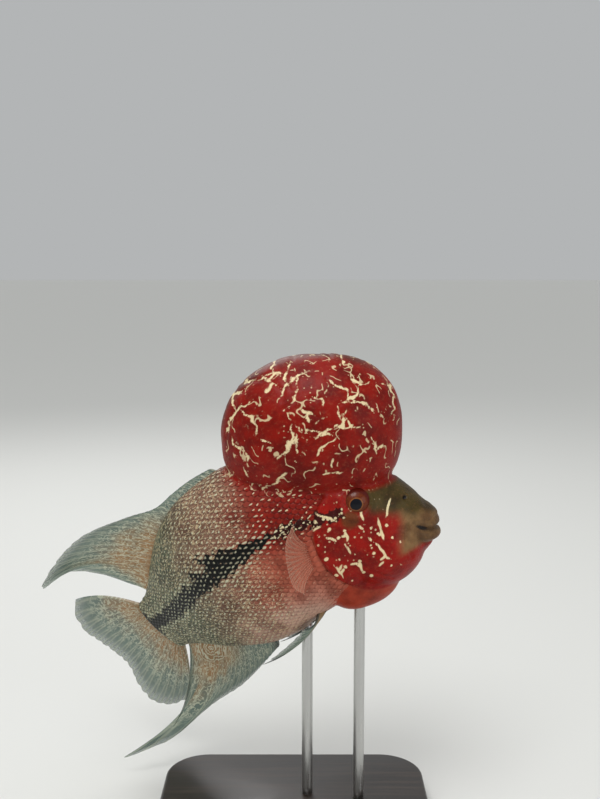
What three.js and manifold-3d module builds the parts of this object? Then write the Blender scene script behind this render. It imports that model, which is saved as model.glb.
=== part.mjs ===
// A male flowerhorn cichlid, life size, as a still model on a plain display stand.
// Millimetres, +Z up. The origin is the middle of the stand's underside, and the fish looks along +X.
//
// The fish is drawn straight first, in its own coordinates: s runs back from the snout along the
// spine, u out to its right flank and v up to its back. place() then bends it into its pose, and the
// bent solids are joined and cut into the parts that a person would name.

import * as THREE from 'three';
import Module from 'manifold-3d';

const wasm = await Module();
wasm.setup();

// Gap between parts that touch
const GAP = 0.3;

// Pose. The spine climbs towards the head, and the tail swings away to the fish's left.
const HEAD_CLIMB = 20;
const MIDDLE_CLIMB = 14;
const TAIL_CLIMB = 14;
const TAIL_TURN = 42;
const HEAD_BANK = 6;
const PLANE_LEAN = 8;
const SNOUT_LEVEL = -20;
const SNOUT_PLACE = new THREE.Vector3(79, -5, 175);

// Spine lengths, measured back from the snout
const FRONT_END = -40;
const REAR_END = 320;
const STANDARD_LENGTH = 203;

// Body outline: distance behind the snout, top, bottom, half width
const BODY_STATIONS = [
  [1.4, -18.3, -20.7, 2.6],
  [3, -15.4, -23.5, 5.8],
  [5.6, -10.4, -28, 9.2],
  [9.2, -4.6, -31.8, 12],
  [13.6, 2.6, -34.6, 14.6],
  [18.5, 9.4, -37, 16.8],
  [30, 22.7, -40.8, 20.4],
  [45, 33.6, -44, 23.5],
  [60, 41, -46.8, 25.5],
  [75, 45.4, -48.6, 26.6],
  [94, 47, -51.2, 26.6],
  [109, 46.6, -52.6, 24.8],
  [128, 44.4, -50.7, 21.4],
  [145, 38.6, -45.6, 17.2],
  [164, 29, -38.2, 12.6],
  [183, 20, -27, 8.6],
  [197, 17.2, -20.6, 5.8],
  [204, 17.2, -20, 4.2],
];
const BODY_RINGS = 30;
const BODY_SIDES = 32;
const BACK_ROUNDNESS = 1.85;
const BELLY_ROUNDNESS = 2.15;
const HEAD_SWELL = 1.3;

// Nuchal hump, a ball that overhangs the forehead and the nape
const HUMP = { s: 46.2, v: 45, length: 45, height: 41.2, width: 31, tilt: 20, squareness: 2.4 };
// Bag of the throat and the lobe of the breast behind it
const THROAT = { s: 38, v: -24.5, length: 27, height: 23, width: 24.8, tilt: 0, squareness: 2 };
const BREAST = { s: 53.5, v: -37.5, length: 23.5, height: 17.4, width: 17, tilt: 0, squareness: 2.3 };

// Edge of the gill opening, an ellipse seen from the side
const GILL = { s: 37, v: -13, length: 29.5, height: 33 };
const GILL_TOP_S = 54;
const FOLD_S = 34;
const COVER_FRONT_S = 52;
const COVER_BOTTOM = -36;
const COVER_THICKNESS = 3;
const COVER_INNER_SIDE = 8;
const COVER_CORNER_LIFT = 4;
const COVER_FRONT_BENDS = [[3, COVER_BOTTOM], [-2, -26], [-2.5, -12]];

// Mouth line, lips and jaw
const MOUTH = { front: 3.5, depth: 15.5, level: -25.3, lift: 10, width: 14.6 };
const LIP_RADIUS = 3.1;
const LIP_END_RADIUS = 1.7;
const LIP_RISE = 0.95 * LIP_RADIUS;
const UPPER_LIP = { back: 0.9, narrow: 0.99 };
const LOWER_LIP = { back: 2.2, narrow: 0.93 };
const JAW_REAR_S = 27;
const JAW_CORNER = { ahead: 4, v: -28 };

// Eyes and nostrils
const EYE = { s: 40.8, v: 5, radius: 8.5, bulge: 2.2 };
const EYE_RIM_RADIUS = 1.3;
const NOSTRIL = { s: 16.2, v: -2.8, radius: 1.5 };

// Cut between the trunk and the tail
const TAIL_CUT_S = 160;

// Cutting slabs: how far they reach out each side, and the step of their outlines
const HALF_SPAN = 36;
const OUTSIDE = 110;
const SLAB_STEP = 2;

// Fins
const FIN_SINK = 4;
const RAY_RIDGE = 0.22;

// Stand
const BASE = { length: 150, width: 88, thickness: 12, corner: 24, bevel: 2 };
const ROD_RADIUS = 3;
const ROD_STATIONS = [56, 103];
const ROD_SINK = 4;

function radians(degrees) {
  return degrees * Math.PI / 180;
}

function ease(x, from, to) {
  const t = Math.min(1, Math.max(0, (x - from) / (to - from)));
  return t * t * (3 - 2 * t);
}

// Directions of the body at a station: forward, up the back and out to the right flank
function directions(s) {
  const climb = radians(HEAD_CLIMB + MIDDLE_CLIMB * ease(s, 50, 120) + TAIL_CLIMB * ease(s, 90, 190));
  const turn = radians(TAIL_TURN * ease(s, 20, 190));
  const bank = radians(HEAD_BANK * (1 - ease(s, 60, 160)));
  const forward = new THREE.Vector3(
    Math.cos(climb) * Math.cos(turn), -Math.sin(turn), Math.sin(climb) * Math.cos(turn));
  const flatUp = new THREE.Vector3(-Math.sin(climb), 0, Math.cos(climb));
  const flatRight = forward.clone().cross(flatUp);
  const up = flatUp.clone().multiplyScalar(Math.cos(bank)).addScaledVector(flatRight, Math.sin(bank));
  const right = flatRight.clone().multiplyScalar(Math.cos(bank)).addScaledVector(flatUp, -Math.sin(bank));
  return { forward, up, right };
}

// Points of the spine at every millimetre, summed up from the snout both ways
const spine = [];
{
  const point = new THREE.Vector3();
  for (let s = 0; s >= FRONT_END; s -= 1) {
    spine[s - FRONT_END] = point.clone();
    point.addScaledVector(directions(s - 0.5).forward, 1);
  }
  point.set(0, 0, 0);
  for (let s = 0; s <= REAR_END; s += 1) {
    spine[s - FRONT_END] = point.clone();
    point.addScaledVector(directions(s + 0.5).forward, -1);
  }
}

const leanBack = new THREE.Matrix4().makeRotationX(radians(-PLANE_LEAN));
const snoutOffset = directions(0).up.multiplyScalar(-SNOUT_LEVEL);

// The place in the model of a point of the straight fish
function place(s, u, v) {
  const reach = Math.min(REAR_END - 1, Math.max(FRONT_END, s));
  const low = Math.floor(reach);
  const { up, right } = directions(reach);
  return spine[low - FRONT_END].clone()
    .lerp(spine[low + 1 - FRONT_END], reach - low)
    .add(snoutOffset)
    .addScaledVector(right, u)
    .addScaledVector(up, v)
    .applyMatrix4(leanBack)
    .add(SNOUT_PLACE);
}

// Smooth curve through the rows of a table, whose first column is the place along it
function curveThrough(rows) {
  const last = rows.length - 1;
  const slope = (i, k) => {
    const a = Math.max(0, i - 1);
    const b = Math.min(last, i + 1);
    return (rows[b][k] - rows[a][k]) / (rows[b][0] - rows[a][0]);
  };
  return (x) => {
    const t = Math.min(rows[last][0], Math.max(rows[0][0], x));
    let i = 0;
    while (i < last - 1 && t > rows[i + 1][0]) i += 1;
    const span = rows[i + 1][0] - rows[i][0];
    const q = (t - rows[i][0]) / span;
    return rows[i].slice(1).map((value, column) => {
      const k = column + 1;
      const end = rows[i + 1][k];
      const rise = q * q * (3 - 2 * q);
      const leave = q * (1 - q) * (1 - q) * span * slope(i, k);
      const arrive = q * q * (q - 1) * span * slope(i + 1, k);
      return value + (end - value) * rise + leave + arrive;
    });
  };
}

const bodyAt = curveThrough(BODY_STATIONS);

// A solid from a list of points and triangles, turned over if its faces look inwards
function solid(points, triangles) {
  const vertProperties = new Float32Array(points.flatMap((p) => [p.x, p.y, p.z]));
  const close = (faces) => {
    const triVerts = new Uint32Array(faces.flat());
    return new wasm.Manifold(new wasm.Mesh({ numProp: 3, vertProperties, triVerts }));
  };
  const made = close(triangles);
  return made.volume() > 0 ? made : close(triangles.map(([a, b, c]) => [a, c, b]));
}

// Closed skin over rings of points, with a fan at each end
function ringsToSolid(rings, front, back) {
  const sides = rings[0].length;
  const points = [...rings.flat(), front, back];
  const frontIndex = points.length - 2;
  const backIndex = points.length - 1;
  const triangles = [];
  for (let i = 0; i < rings.length - 1; i += 1) {
    for (let j = 0; j < sides; j += 1) {
      const a = i * sides + j;
      const b = i * sides + (j + 1) % sides;
      triangles.push([a, b, b + sides], [a, b + sides, a + sides]);
    }
  }
  const lastRing = (rings.length - 1) * sides;
  for (let j = 0; j < sides; j += 1) {
    const next = (j + 1) % sides;
    triangles.push([frontIndex, next, j], [backIndex, lastRing + j, lastRing + next]);
  }
  return solid(points, triangles);
}

function power(value, exponent) {
  return Math.sign(value) * Math.abs(value) ** exponent;
}

// Half width of the body at a height of a station
function flank(s, v, swell = 0) {
  const [top, bottom, half] = bodyAt(s);
  const middle = (top + bottom) / 2;
  const height = (top - bottom) / 2 + swell;
  const roundness = v > middle ? BACK_ROUNDNESS : BELLY_ROUNDNESS;
  const share = Math.min(1, Math.abs(v - middle) / height);
  return (half + swell) * (1 - share ** roundness) ** (1 / roundness);
}

// The body from the snout to the root of the tail fin, swollen by a given amount
function bodySolid(swell) {
  const rings = [];
  const first = BODY_STATIONS[0][0];
  const length = BODY_STATIONS[BODY_STATIONS.length - 1][0] - first;
  for (let i = 0; i <= BODY_RINGS; i += 1) {
    const s = first + length * (i / BODY_RINGS) ** 1.3;
    const [top, bottom, half] = bodyAt(s);
    const middle = (top + bottom) / 2;
    const height = (top - bottom) / 2 + swell;
    const shift = i === 0 ? -swell : (i === BODY_RINGS ? swell : 0);
    const ring = [];
    for (let j = 0; j < BODY_SIDES; j += 1) {
      const angle = 2 * Math.PI * j / BODY_SIDES;
      const roundness = Math.sin(angle) > 0 ? BACK_ROUNDNESS : BELLY_ROUNDNESS;
      const u = (half + swell) * power(Math.cos(angle), 2 / roundness);
      const v = middle + height * power(Math.sin(angle), 2 / roundness);
      ring.push(place(s + shift, u, v));
    }
    rings.push(ring);
  }
  const front = place(first - swell - 0.6, 0, (bodyAt(first)[0] + bodyAt(first)[1]) / 2);
  const rear = first + length;
  const back = place(rear + swell, 0, (bodyAt(rear)[0] + bodyAt(rear)[1]) / 2);
  return ringsToSolid(rings, front, back);
}

// A ball with its own length, height and width, tilted in the plane of the back
function ballSolid(shape, swell, around = 24, across = 12) {
  const rings = [];
  const tilt = radians(shape.tilt);
  const corner = 2 / shape.squareness;
  for (let i = 1; i < across; i += 1) {
    const lift = Math.PI * (i / across - 0.5);
    const ring = [];
    for (let j = 0; j < around; j += 1) {
      const angle = 2 * Math.PI * j / around;
      const back = (shape.length + swell) * power(Math.cos(angle), corner) * Math.cos(lift);
      const rise = (shape.height + swell) * power(Math.sin(angle), corner) * Math.cos(lift);
      const s = shape.s + back * Math.cos(tilt) - rise * Math.sin(tilt);
      const v = shape.v + back * Math.sin(tilt) + rise * Math.cos(tilt);
      ring.push(place(s, (shape.width + swell) * Math.sin(lift), v));
    }
    rings.push(ring);
  }
  const left = place(shape.s, -shape.width - swell, shape.v);
  const right = place(shape.s, shape.width + swell, shape.v);
  return ringsToSolid(rings, left, right);
}

// A round bar along a path of straight-fish points, with a radius for each place along it
function barSolid(path, radiusAt, steps, sides) {
  const points = [];
  for (let i = 0; i <= steps; i += 1) points.push(path(i / steps));
  const rings = points.map((point, i) => {
    const before = points[Math.max(0, i - 1)];
    const after = points[Math.min(steps, i + 1)];
    const along = after.clone().sub(before).normalize();
    const side = new THREE.Vector3(0, 0, 1).cross(along).normalize();
    const rise = along.clone().cross(side);
    const radius = radiusAt(i / steps);
    const ring = [];
    for (let j = 0; j < sides; j += 1) {
      const angle = 2 * Math.PI * j / sides;
      const p = point.clone()
        .addScaledVector(side, radius * Math.cos(angle))
        .addScaledVector(rise, radius * Math.sin(angle));
      ring.push(place(p.x, p.y, p.z));
    }
    return ring;
  });
  const start = points[0];
  const end = points[steps];
  return ringsToSolid(rings, place(start.x, start.y, start.z), place(end.x, end.y, end.z));
}

// A slab seen from the side as an outline, from one distance out to another
function slabSolid(outline, from, to) {
  const fine = [];
  outline.forEach(([s, v], i) => {
    const [nextS, nextV] = outline[(i + 1) % outline.length];
    const parts = Math.max(1, Math.ceil(Math.abs(nextS - s) / SLAB_STEP));
    for (let k = 0; k < parts; k += 1) {
      fine.push(new THREE.Vector2(s + (nextS - s) * k / parts, v + (nextV - v) * k / parts));
    }
  });
  if (THREE.ShapeUtils.isClockWise(fine)) fine.reverse();
  const caps = THREE.ShapeUtils.triangulateShape(fine, []);
  const count = fine.length;
  const points = [from, to].flatMap((u) => fine.map((p) => place(p.x, u, p.y)));
  const triangles = [];
  for (let j = 0; j < count; j += 1) {
    const next = (j + 1) % count;
    triangles.push([j, next, next + count], [j, next + count, j + count]);
  }
  caps.forEach(([a, b, c]) => triangles.push([c, b, a], [a + count, b + count, c + count]));
  return solid(points, triangles);
}

// A fin: a thin sheet between its root and its free edge, with rays raised in both faces
function finSolid(fin) {
  const columns = fin.rays * 2;
  const middle = [];
  for (let i = 0; i <= columns; i += 1) {
    const t = i / columns;
    const root = fin.root(t);
    const edge = fin.edge(t);
    const column = [];
    for (let k = 0; k <= fin.steps; k += 1) {
      const q = k / fin.steps;
      const bow = 4 * q * (1 - q);
      const bulge = fin.bow(t);
      const p = root.map((value, axis) => value + (edge[axis] - value) * q + bulge[axis] * bow);
      p[1] -= (edge[1] - root[1]) * (q - q * q) * fin.curl;
      column.push(place(...p));
    }
    middle.push(column);
  }
  const at = (i, k) => middle[Math.min(columns, Math.max(0, i))][Math.min(fin.steps, Math.max(0, k))];
  const points = [];
  [1, -1].forEach((side) => {
    for (let i = 0; i <= columns; i += 1) {
      for (let k = 0; k <= fin.steps; k += 1) {
        const along = at(i, k + 1).clone().sub(at(i, k - 1));
        const across = at(i + 1, k).clone().sub(at(i - 1, k));
        const normal = along.cross(across).normalize();
        const q = k / fin.steps;
        const ray = i % 2 === 0 ? RAY_RIDGE * (1 - 0.5 * q) : 0;
        const half = fin.rootHalf + (fin.edgeHalf - fin.rootHalf) * q + ray;
        points.push(middle[i][k].clone().addScaledVector(normal, side * half));
      }
    }
  });
  const row = fin.steps + 1;
  const other = (columns + 1) * row;
  const triangles = [];
  for (let i = 0; i < columns; i += 1) {
    for (let k = 0; k < fin.steps; k += 1) {
      const a = i * row + k;
      const b = a + row;
      triangles.push([a, b, b + 1], [a, b + 1, a + 1]);
      triangles.push([other + a, other + b + 1, other + b], [other + a, other + a + 1, other + b + 1]);
    }
    const rim = i * row;
    const tip = rim + fin.steps;
    triangles.push([rim, other + rim, other + rim + row], [rim, other + rim + row, rim + row]);
    triangles.push([tip, tip + row, other + tip + row], [tip, other + tip + row, other + tip]);
  }
  for (let k = 0; k < fin.steps; k += 1) {
    const end = columns * row + k;
    triangles.push([k, k + 1, other + k + 1], [k, other + k + 1, other + k]);
    triangles.push([end, other + end, other + end + 1], [end, other + end + 1, end + 1]);
  }
  return solid(points, triangles);
}

// The largest closed piece of a solid
function largest(shape) {
  return shape.decompose().sort((a, b) => b.volume() - a.volume())[0];
}

function joined(shapes) {
  return shapes.reduce((whole, shape) => whole.add(shape));
}

const fish = new THREE.Group();

function addPart(name, shape, material) {
  const mesh = largest(shape).getMesh();
  const geometry = new THREE.BufferGeometry();
  const count = mesh.vertProperties.length / mesh.numProp;
  const positions = new Float32Array(count * 3);
  for (let i = 0; i < count; i += 1) {
    for (let k = 0; k < 3; k += 1) positions[i * 3 + k] = mesh.vertProperties[i * mesh.numProp + k];
  }
  geometry.setAttribute('position', new THREE.BufferAttribute(positions, 3));
  geometry.setIndex(new THREE.BufferAttribute(new Uint32Array(mesh.triVerts), 1));
  geometry.computeVertexNormals();
  const part = new THREE.Mesh(geometry, material);
  part.name = name;
  fish.add(part);
}

function finish(color, roughness, metalness = 0) {
  return new THREE.MeshStandardMaterial({ color, roughness, metalness });
}

const crimson = finish(0x8e1712, 0.38);
const headRed = finish(0xa3211a, 0.4);
const flankRose = finish(0xa8766a, 0.42);
const oliveGrey = finish(0x6f8078, 0.42);
const breastRed = finish(0xc0402c, 0.4);
const lipTan = finish(0x8a7352, 0.45);
const finGrey = finish(0x7f968c, 0.5);
const eyeAmber = finish(0x8f4a1e, 0.12);
const steel = finish(0xb9bcbe, 0.3, 1);
const blackWood = finish(0x1d1b1a, 0.4);

// Outline of the head seen from the side, up to the gill opening and the fold of the throat
function headOutline(gap) {
  const outline = [[FRONT_END, OUTSIDE], [GILL_TOP_S + gap, OUTSIDE]];
  const start = Math.acos((GILL_TOP_S + gap - GILL.s) / (GILL.length + gap));
  const stop = -Math.acos((FOLD_S + gap - GILL.s) / (GILL.length + gap));
  const parts = 20;
  for (let i = 0; i <= parts; i += 1) {
    const angle = start + (stop - start) * i / parts;
    outline.push([
      GILL.s + (GILL.length + gap) * Math.cos(angle),
      GILL.v + (GILL.height + gap) * Math.sin(angle),
    ]);
  }
  outline.push([FOLD_S + gap, -OUTSIDE], [FRONT_END, -OUTSIDE]);
  return outline;
}

// Outline of a gill cover: the rear of the head, behind the cheek
function coverOutline(gap) {
  const front = COVER_FRONT_S - gap;
  const bottom = COVER_BOTTOM - gap;
  const start = Math.acos((GILL_TOP_S - GILL.s) / GILL.length) + gap / 8;
  const stop = Math.asin((COVER_BOTTOM - GILL.v) / GILL.height);
  const outline = [[front, GILL.v + GILL.height * Math.sin(start) + gap - COVER_CORNER_LIFT]];
  const parts = 14;
  for (let i = 0; i <= parts; i += 1) {
    const angle = start + (stop - start) * i / parts;
    outline.push([
      GILL.s + (GILL.length + 2 * gap) * Math.cos(angle),
      GILL.v + (GILL.height + 2 * gap) * Math.sin(angle),
    ]);
  }
  COVER_FRONT_BENDS.forEach(([ahead, v]) => outline.push([front + ahead, Math.max(v, bottom)]));
  outline[outline.length - COVER_FRONT_BENDS.length][1] = bottom;
  return outline;
}

// The line between the lips: half a turn round the snout, with its corners lifted
function mouthLine(a) {
  const turn = a * Math.PI / 2;
  return new THREE.Vector3(
    MOUTH.front + MOUTH.depth * (1 - Math.cos(turn)),
    MOUTH.width * Math.sin(turn),
    MOUTH.level + MOUTH.lift * Math.abs(a) ** 4,
  );
}

function jawOutline(gap) {
  const outline = [[FRONT_END, MOUTH.level + gap]];
  const parts = 8;
  for (let i = 0; i <= parts; i += 1) {
    const point = mouthLine(i / parts);
    outline.push([point.x - gap, point.z + gap]);
  }
  const corner = mouthLine(1);
  if (gap > 0) outline.push([corner.x + gap, corner.z + gap]);
  outline.push(
    [JAW_REAR_S - JAW_CORNER.ahead + gap, JAW_CORNER.v],
    [JAW_REAR_S + gap, -OUTSIDE],
    [FRONT_END, -OUTSIDE],
  );
  return outline;
}

function lipSolid(lip, side) {
  const path = (t) => {
    const point = mouthLine(2 * t - 1);
    point.z += side * LIP_RISE;
    point.x += lip.back;
    point.y *= lip.narrow;
    return point;
  };
  const fullness = (t) => Math.cos(radians(90 * (2 * t - 1)));
  const radiusAt = (t) => LIP_END_RADIUS + (LIP_RADIUS - LIP_END_RADIUS) * fullness(t);
  return barSolid(path, radiusAt, 14, 8);
}

const sides = [['right', 1], ['left', -1]];
const eyeOut = flank(EYE.s, EYE.v) + HEAD_SWELL + EYE.bulge - EYE.radius;

function eyeSolid(side, swell) {
  const rings = [];
  const around = 16;
  const across = 10;
  const size = EYE.radius + swell;
  for (let i = 1; i < across; i += 1) {
    const lift = Math.PI * (i / across - 0.5);
    const ring = [];
    for (let j = 0; j < around; j += 1) {
      const angle = 2 * Math.PI * j / around;
      const radius = size * Math.cos(lift);
      ring.push(place(
        EYE.s + radius * Math.cos(angle),
        side * eyeOut + size * Math.sin(lift),
        EYE.v + radius * Math.sin(angle),
      ));
    }
    rings.push(ring);
  }
  const inner = place(EYE.s, side * eyeOut - size, EYE.v);
  const outer = place(EYE.s, side * eyeOut + size, EYE.v);
  return ringsToSolid(rings, inner, outer);
}

function eyeRimSolid(side, swell) {
  const rimRadius = EYE.radius * 0.93;
  const path = (t) => {
    const angle = 2 * Math.PI * t;
    const s = EYE.s + rimRadius * Math.cos(angle);
    const v = EYE.v + rimRadius * Math.sin(angle);
    return new THREE.Vector3(s, side * (flank(s, v, HEAD_SWELL) - 0.2), v);
  };
  return barSolid(path, () => EYE_RIM_RADIUS + swell, 16, 6);
}

function nostrilSolid(side) {
  const out = flank(NOSTRIL.s, NOSTRIL.v, HEAD_SWELL) + 0.3;
  const path = (t) => new THREE.Vector3(NOSTRIL.s, side * (out + 2 - 4 * t), NOSTRIL.v);
  return barSolid(path, (t) => NOSTRIL.radius * (1 - 0.4 * t), 3, 10);
}

// Head, with the throat bag, lips, eye sockets and nostrils
const skull = joined([
  bodySolid(HEAD_SWELL),
  ballSolid(THROAT, 0),
  lipSolid(UPPER_LIP, 1),
  lipSolid(LOWER_LIP, -1),
  eyeRimSolid(1, 0),
  eyeRimSolid(-1, 0),
]);
const headWhole = skull.intersect(slabSolid(headOutline(0), -HALF_SPAN, HALF_SPAN));
const innerHead = (swell) => bodySolid(HEAD_SWELL - swell).add(ballSolid(THROAT, -swell));

let head = headWhole.subtract(slabSolid(jawOutline(GAP), -HALF_SPAN, HALF_SPAN));
sides.forEach(([, side]) => {
  const opening = slabSolid(coverOutline(GAP), side * COVER_INNER_SIDE, side * HALF_SPAN)
    .subtract(innerHead(COVER_THICKNESS + GAP));
  head = head
    .subtract(opening)
    .subtract(eyeSolid(side, GAP))
    .subtract(nostrilSolid(side));
});
addPart('head', head, headRed);
addPart('lower_jaw', headWhole.intersect(slabSolid(jawOutline(0), -HALF_SPAN, HALF_SPAN)), lipTan);

sides.forEach(([name, side]) => {
  const cover = headWhole
    .intersect(slabSolid(coverOutline(0), side * COVER_INNER_SIDE, side * HALF_SPAN))
    .subtract(innerHead(COVER_THICKNESS));
  addPart(`gill_cover_${name}`, cover, headRed);
  addPart(`eye_${name}`, eyeSolid(side, 0), eyeAmber);
});

// Hump, breast, trunk and tail
const behindHead = slabSolid(headOutline(GAP), -HALF_SPAN, HALF_SPAN);
const breast = ballSolid(BREAST, 0)
  .subtract(behindHead)
  .subtract(bodySolid(GAP));
addPart('breast', breast, breastRed);

const hump = ballSolid(HUMP, 0, 32, 16)
  .subtract(bodySolid(GAP))
  .subtract(bodySolid(HEAD_SWELL + GAP).intersect(behindHead))
  .subtract(eyeRimSolid(1, GAP))
  .subtract(eyeRimSolid(-1, GAP));
addPart('nuchal_hump', hump, crimson);

const trunkWhole = bodySolid(0).subtract(behindHead);
const beyond = (s) => slabSolid(
  [[s, -OUTSIDE], [REAR_END, -OUTSIDE], [REAR_END, OUTSIDE], [s, OUTSIDE]],
  -HALF_SPAN,
  HALF_SPAN,
);
addPart('trunk', trunkWhole.subtract(beyond(TAIL_CUT_S)), flankRose);
addPart('tail', trunkWhole.intersect(beyond(TAIL_CUT_S + GAP)), oliveGrey);

// Everything of flesh that a fin has to stay clear of
const fleshAround = joined([
  bodySolid(GAP),
  bodySolid(HEAD_SWELL + GAP).intersect(slabSolid(headOutline(GAP), -HALF_SPAN, HALF_SPAN)),
  ballSolid(BREAST, GAP),
  ballSolid(HUMP, GAP),
]);

const backLevel = (s) => bodyAt(s)[0];
const bellyLevel = (s) => bodyAt(s)[1];

const dorsalEdge = curveThrough([
  [0, 101, 0, 49.5],
  [0.12, 112, 0, 50.3],
  [0.25, 124, 0, 50],
  [0.37, 138, 0.5, 50],
  [0.48, 154, 2, 57.5],
  [0.6, 182, 6, 69],
  [0.72, 212, 12, 71],
  [0.8, 232, 18, 67],
  [0.87, 208, 12, 61],
  [0.94, 196, 6, 46],
  [1, 188, 2, 28],
]);
const dorsalBow = curveThrough([
  [0, 0, 0, 2],
  [0.6, 0, 0, 3],
  [0.72, 0, 0, 6],
  [0.8, 0, 0, 11],
  [0.87, 0, 0, 6],
  [0.94, 0, 0, 1],
  [1, 0, 0, 0],
]);
const dorsalFin = finSolid({
  rays: 24,
  steps: 5,
  rootHalf: 0.7,
  edgeHalf: 0.26,
  bow: dorsalBow,
  curl: 1,
  root: (t) => {
    const s = 96 + 87 * t;
    return [s, 0, backLevel(s) - FIN_SINK];
  },
  edge: dorsalEdge,
});
addPart('dorsal_fin', dorsalFin.subtract(fleshAround), finGrey);

const analEdge = curveThrough([
  [0, 134, 0, -54.5],
  [0.2, 157, 0, -58],
  [0.4, 188, 3, -60],
  [0.55, 210, 9.5, -56.5],
  [0.68, 229, 20, -54],
  [0.76, 245, 32, -50.8],
  [0.82, 260, 50, -37.5],
  [0.87, 243, 31, -48.4],
  [0.91, 230, 20, -46.2],
  [0.95, 217, 12, -39.5],
  [0.98, 206, 6, -31],
  [1, 199, 2, -24.5],
]);
const analBow = curveThrough([
  [0, 0, 0, -2],
  [0.4, 0, 0, -3],
  [0.55, 0, 0, -5],
  [0.68, 0, 0, -8.5],
  [0.76, 0, 0, -12],
  [0.82, 0, 0, -15],
  [0.87, 0, 0, -8],
  [0.92, 0, 0, -2],
  [1, 0, 0, 0],
]);
const analFin = finSolid({
  rays: 16,
  steps: 6,
  rootHalf: 0.7,
  edgeHalf: 0.26,
  bow: analBow,
  curl: 1,
  root: (t) => {
    const s = 128 + 66 * t;
    return [s, 0, bellyLevel(s) + FIN_SINK];
  },
  edge: analEdge,
});
addPart('anal_fin', analFin.subtract(fleshAround), finGrey);

const caudalEdge = curveThrough([
  [0, 240, 3, -45],
  [0.1, 251, 6, -40.5],
  [0.22, 257, 9, -30],
  [0.33, 256, 8, -18],
  [0.47, 250, 6, -5],
  [0.6, 249, 6, 6],
  [0.75, 252, 6, 20],
  [0.88, 254, 6, 32],
  [0.96, 247, 6, 43],
  [1, 236, 5, 48],
]);
const caudalFin = finSolid({
  rays: 16,
  steps: 5,
  rootHalf: 1.6,
  edgeHalf: 0.26,
  bow: (t) => [0, 0, 8 * (t - 0.45)],
  curl: 1,
  root: (t) => [STANDARD_LENGTH - 2, 0, -18.5 + 34.2 * t],
  edge: caudalEdge,
});
addPart('caudal_fin', caudalFin.subtract(fleshAround), finGrey);

sides.forEach(([name, side]) => {
  const pectoralEdge = curveThrough([
    [0, 66, side * 56, 14],
    [0.25, 71, side * 61, 7],
    [0.5, 74, side * 62, -4],
    [0.75, 76, side * 58, -15],
    [1, 75, side * 50, -23],
  ]);
  const pectoral = finSolid({
    rays: 11,
    steps: 4,
    rootHalf: 0.8,
    edgeHalf: 0.26,
    bow: () => [2, 0, 0],
    curl: 0,
    root: (t) => [69.5 + t, side * 22, -8 - 10 * t],
    edge: pectoralEdge,
  });
  addPart(`pectoral_fin_${name}`, pectoral.subtract(fleshAround), finGrey);

  const pelvicEdge = curveThrough([
    [0, 143, side * 11, -55.5],
    [0.25, 128, side * 11.8, -55],
    [0.6, 110, side * 13.5, -52.5],
    [1, 95, side * 15.2, -48.8],
  ]);
  const pelvic = finSolid({
    rays: 6,
    steps: 6,
    rootHalf: 1,
    edgeHalf: 0.28,
    bow: (t) => [0, side * 1.5, -6 + 2 * t],
    curl: 0,
    root: (t) => [74 + 8 * t, side * (7 + 2 * t), -44 + 2 * t],
    edge: pelvicEdge,
  });
  addPart(`pelvic_fin_${name}`, pelvic.subtract(fleshAround), finGrey);
});

// Stand: a flat base with rounded corners and two upright rods
function baseShape() {
  const x = BASE.length / 2 - BASE.bevel;
  const y = BASE.width / 2 - BASE.bevel;
  const c = BASE.corner;
  const shape = new THREE.Shape();
  shape.moveTo(-x + c, -y);
  shape.lineTo(x - c, -y);
  shape.absarc(x - c, -y + c, c, -Math.PI / 2, 0);
  shape.lineTo(x, y - c);
  shape.absarc(x - c, y - c, c, 0, Math.PI / 2);
  shape.lineTo(-x + c, y);
  shape.absarc(-x + c, y - c, c, Math.PI / 2, Math.PI);
  shape.lineTo(-x, -y + c);
  shape.absarc(-x + c, -y + c, c, Math.PI, 1.5 * Math.PI);
  return shape;
}

const baseGeometry = new THREE.ExtrudeGeometry(baseShape(), {
  depth: BASE.thickness - 2 * BASE.bevel,
  bevelEnabled: true,
  bevelThickness: BASE.bevel,
  bevelSize: BASE.bevel,
  bevelSegments: 1,
  curveSegments: 6,
});
const base = new THREE.Mesh(baseGeometry, blackWood);
base.name = 'stand_base';
base.position.z = BASE.bevel;
fish.add(base);

ROD_STATIONS.forEach((s, i) => {
  const foot = place(s, 0, bellyLevel(s));
  const bottom = BASE.thickness + GAP;
  const top = foot.z + 20;
  const rings = [bottom, top].map((z) => {
    const ring = [];
    for (let j = 0; j < 20; j += 1) {
      const angle = 2 * Math.PI * j / 20;
      ring.push(new THREE.Vector3(
        foot.x + ROD_RADIUS * Math.cos(angle),
        foot.y + ROD_RADIUS * Math.sin(angle),
        z,
      ));
    }
    return ring;
  });
  const rod = ringsToSolid(
    rings, new THREE.Vector3(foot.x, foot.y, bottom), new THREE.Vector3(foot.x, foot.y, top));
  addPart(`stand_rod_${i + 1}`, rod.subtract(fleshAround), steel);
});

export default fish;
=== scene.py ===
"""A male flowerhorn cichlid, life size, as a still museum model on a plain display stand.

The fish is drawn straight first, in millimetres: s runs back from the snout along the spine, u out
to the right flank and v up to the back. place() bends those points into the pose, in metres.
"""

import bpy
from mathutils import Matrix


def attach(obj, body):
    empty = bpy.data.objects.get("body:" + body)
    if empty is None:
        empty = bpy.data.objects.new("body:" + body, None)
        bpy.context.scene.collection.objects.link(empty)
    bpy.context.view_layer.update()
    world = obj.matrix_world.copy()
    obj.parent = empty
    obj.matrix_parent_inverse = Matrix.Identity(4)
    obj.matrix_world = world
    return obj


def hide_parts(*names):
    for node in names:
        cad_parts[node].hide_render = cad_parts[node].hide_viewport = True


bl_info = {
    "name": "Flowerhorn Cichlid Display Model",
    "version": (1, 0, 0),
    "blender": (4, 5, 0),
    "location": "View3D > Sidebar > Flowerhorn",
    "description": "Builds the skin, scales, fins, eyes and stand of a flowerhorn cichlid model",
    "category": "Add Mesh",
}

import math

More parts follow.
